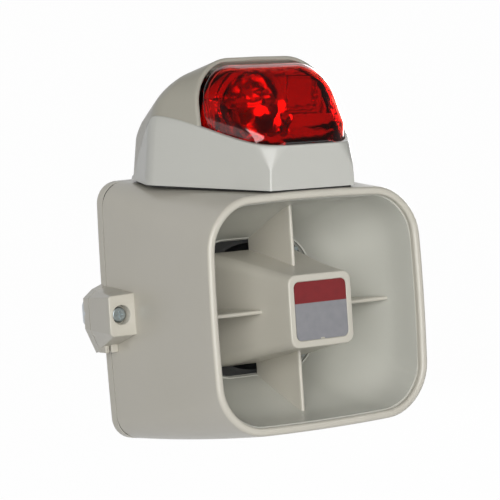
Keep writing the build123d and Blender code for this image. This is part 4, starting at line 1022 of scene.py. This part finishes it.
# Angles in degrees, place in metres, lens in mm
view = {"yaw": 31.78, "pitch": 2.45, "roll": -3.83, "lens": 143.98, "place": (-0.60267, -1.0263, 0.08124)}


def studioWhite():
    # Matt paper: grey to the light that falls on it, plain white to the eye, in mirrors and through glass
    material, tree, shader = newMaterial("paperSweep")
    shader.inputs["Base Color"].default_value = toLinear(studio["paper"])
    shader.inputs["Roughness"].default_value = studio["paperRoughness"]
    rays = addNode(tree, "ShaderNodeLightPath")
    seen = addNode(tree, "ShaderNodeMath", {"operation": "MAXIMUM"},
                   {0: (rays, "Is Camera Ray"), 1: (rays, "Is Glossy Ray")})
    through = addNode(tree, "ShaderNodeMath", {"operation": "MAXIMUM"},
                      {0: (seen, 0), 1: (rays, "Is Transmission Ray")})
    share = addNode(tree, "ShaderNodeMath", {"operation": "MULTIPLY", 1: studio["whiteShare"]},
                    {0: (through, 0)})
    white = addNode(tree, "ShaderNodeEmission", {"Strength": studio["white"]})
    mixed = addNode(tree, "ShaderNodeMixShader", links={"Fac": (share, 0), 1: (shader, 0), 2: (white, 0)})
    linkTo(tree, mixed, 0, tree.nodes["Material Output"], "Surface")
    return material


def sweep():
    # Floor that curves up, by a quarter circle, into a backdrop behind the siren
    half, radius, curveFrom = studio["floorSize"] / 2, studio["curveRadius"], studio["curveFrom"]
    a = arc(24)
    y = np.concatenate([[-half], curveFrom + radius * np.sin(a), [curveFrom + radius]])
    z = np.concatenate([[0.0], radius - radius * np.cos(a), [studio["top"]]]) + studio["floor"]
    rows = np.stack(np.broadcast_arrays(np.array([-half, half]), y[:, None], z[:, None]), -1)
    floor = joinGrids("sweep", [(rows / mm, False, False)])
    floor.data.materials.append(studioWhite())


def softBox(name, place, aim, size, power):
    data = bpy.data.lights.new(name, "AREA")
    data.shape = "RECTANGLE"
    data.size, data.size_y = size
    data.energy = power
    lamp = bpy.data.objects.new(name, data)
    lamp.location = place
    lamp.rotation_euler = (Vector(aim) - Vector(place)).to_track_quat("-Z", "Y").to_euler()
    bpy.context.scene.collection.objects.link(lamp)


def roomAir():
    # A white room whose ceiling is darker than its walls
    world = bpy.data.worlds.new("studioAir")
    bpy.context.scene.world = world
    world.use_nodes = True
    tree = world.node_tree
    air = tree.nodes["Background"]
    air.inputs["Color"].default_value = toLinear("#ffffff")
    way = addNode(tree, "ShaderNodeTexCoord")
    upwards = addNode(tree, "ShaderNodeSeparateXYZ", links={"Vector": (way, "Generated")})
    dimmed = addNode(tree, "ShaderNodeMapRange", {
        "From Min": 0.0, "From Max": room["ceilingFrom"], "To Min": room["walls"], "To Max": room["ceiling"],
    }, {"Value": (upwards, "Z")})
    linkTo(tree, dimmed, "Result", air, "Strength")


def cameraAt():
    # Yaw about the upright axis, pitch down, then roll about the line of sight
    yaw, pitch, roll = (math.radians(view[k]) for k in ("yaw", "pitch", "roll"))
    forward = np.array([math.sin(yaw) * math.cos(pitch), math.cos(yaw) * math.cos(pitch), -math.sin(pitch)])
    level = np.array([math.cos(yaw), -math.sin(yaw), 0])
    upright = np.cross(level, forward)
    right = math.cos(roll) * level + math.sin(roll) * upright
    up = math.cos(roll) * upright - math.sin(roll) * level
    data = bpy.data.cameras.new("camera")
    data.lens, data.sensor_width = view["lens"], 36.0
    eye = bpy.data.objects.new("camera", data)
    turn = Matrix(np.stack([right, up, -forward], 1).tolist()).to_4x4()
    eye.matrix_world = Matrix.Translation(view["place"]) @ turn
    bpy.context.scene.collection.objects.link(eye)
    bpy.context.scene.camera = eye


sweep()
for name, settings in lamps.items():
    softBox(name, *settings)
roomAir()
cameraAt()
bpy.context.scene.view_settings.view_transform = "Standard"
print("set the studio")
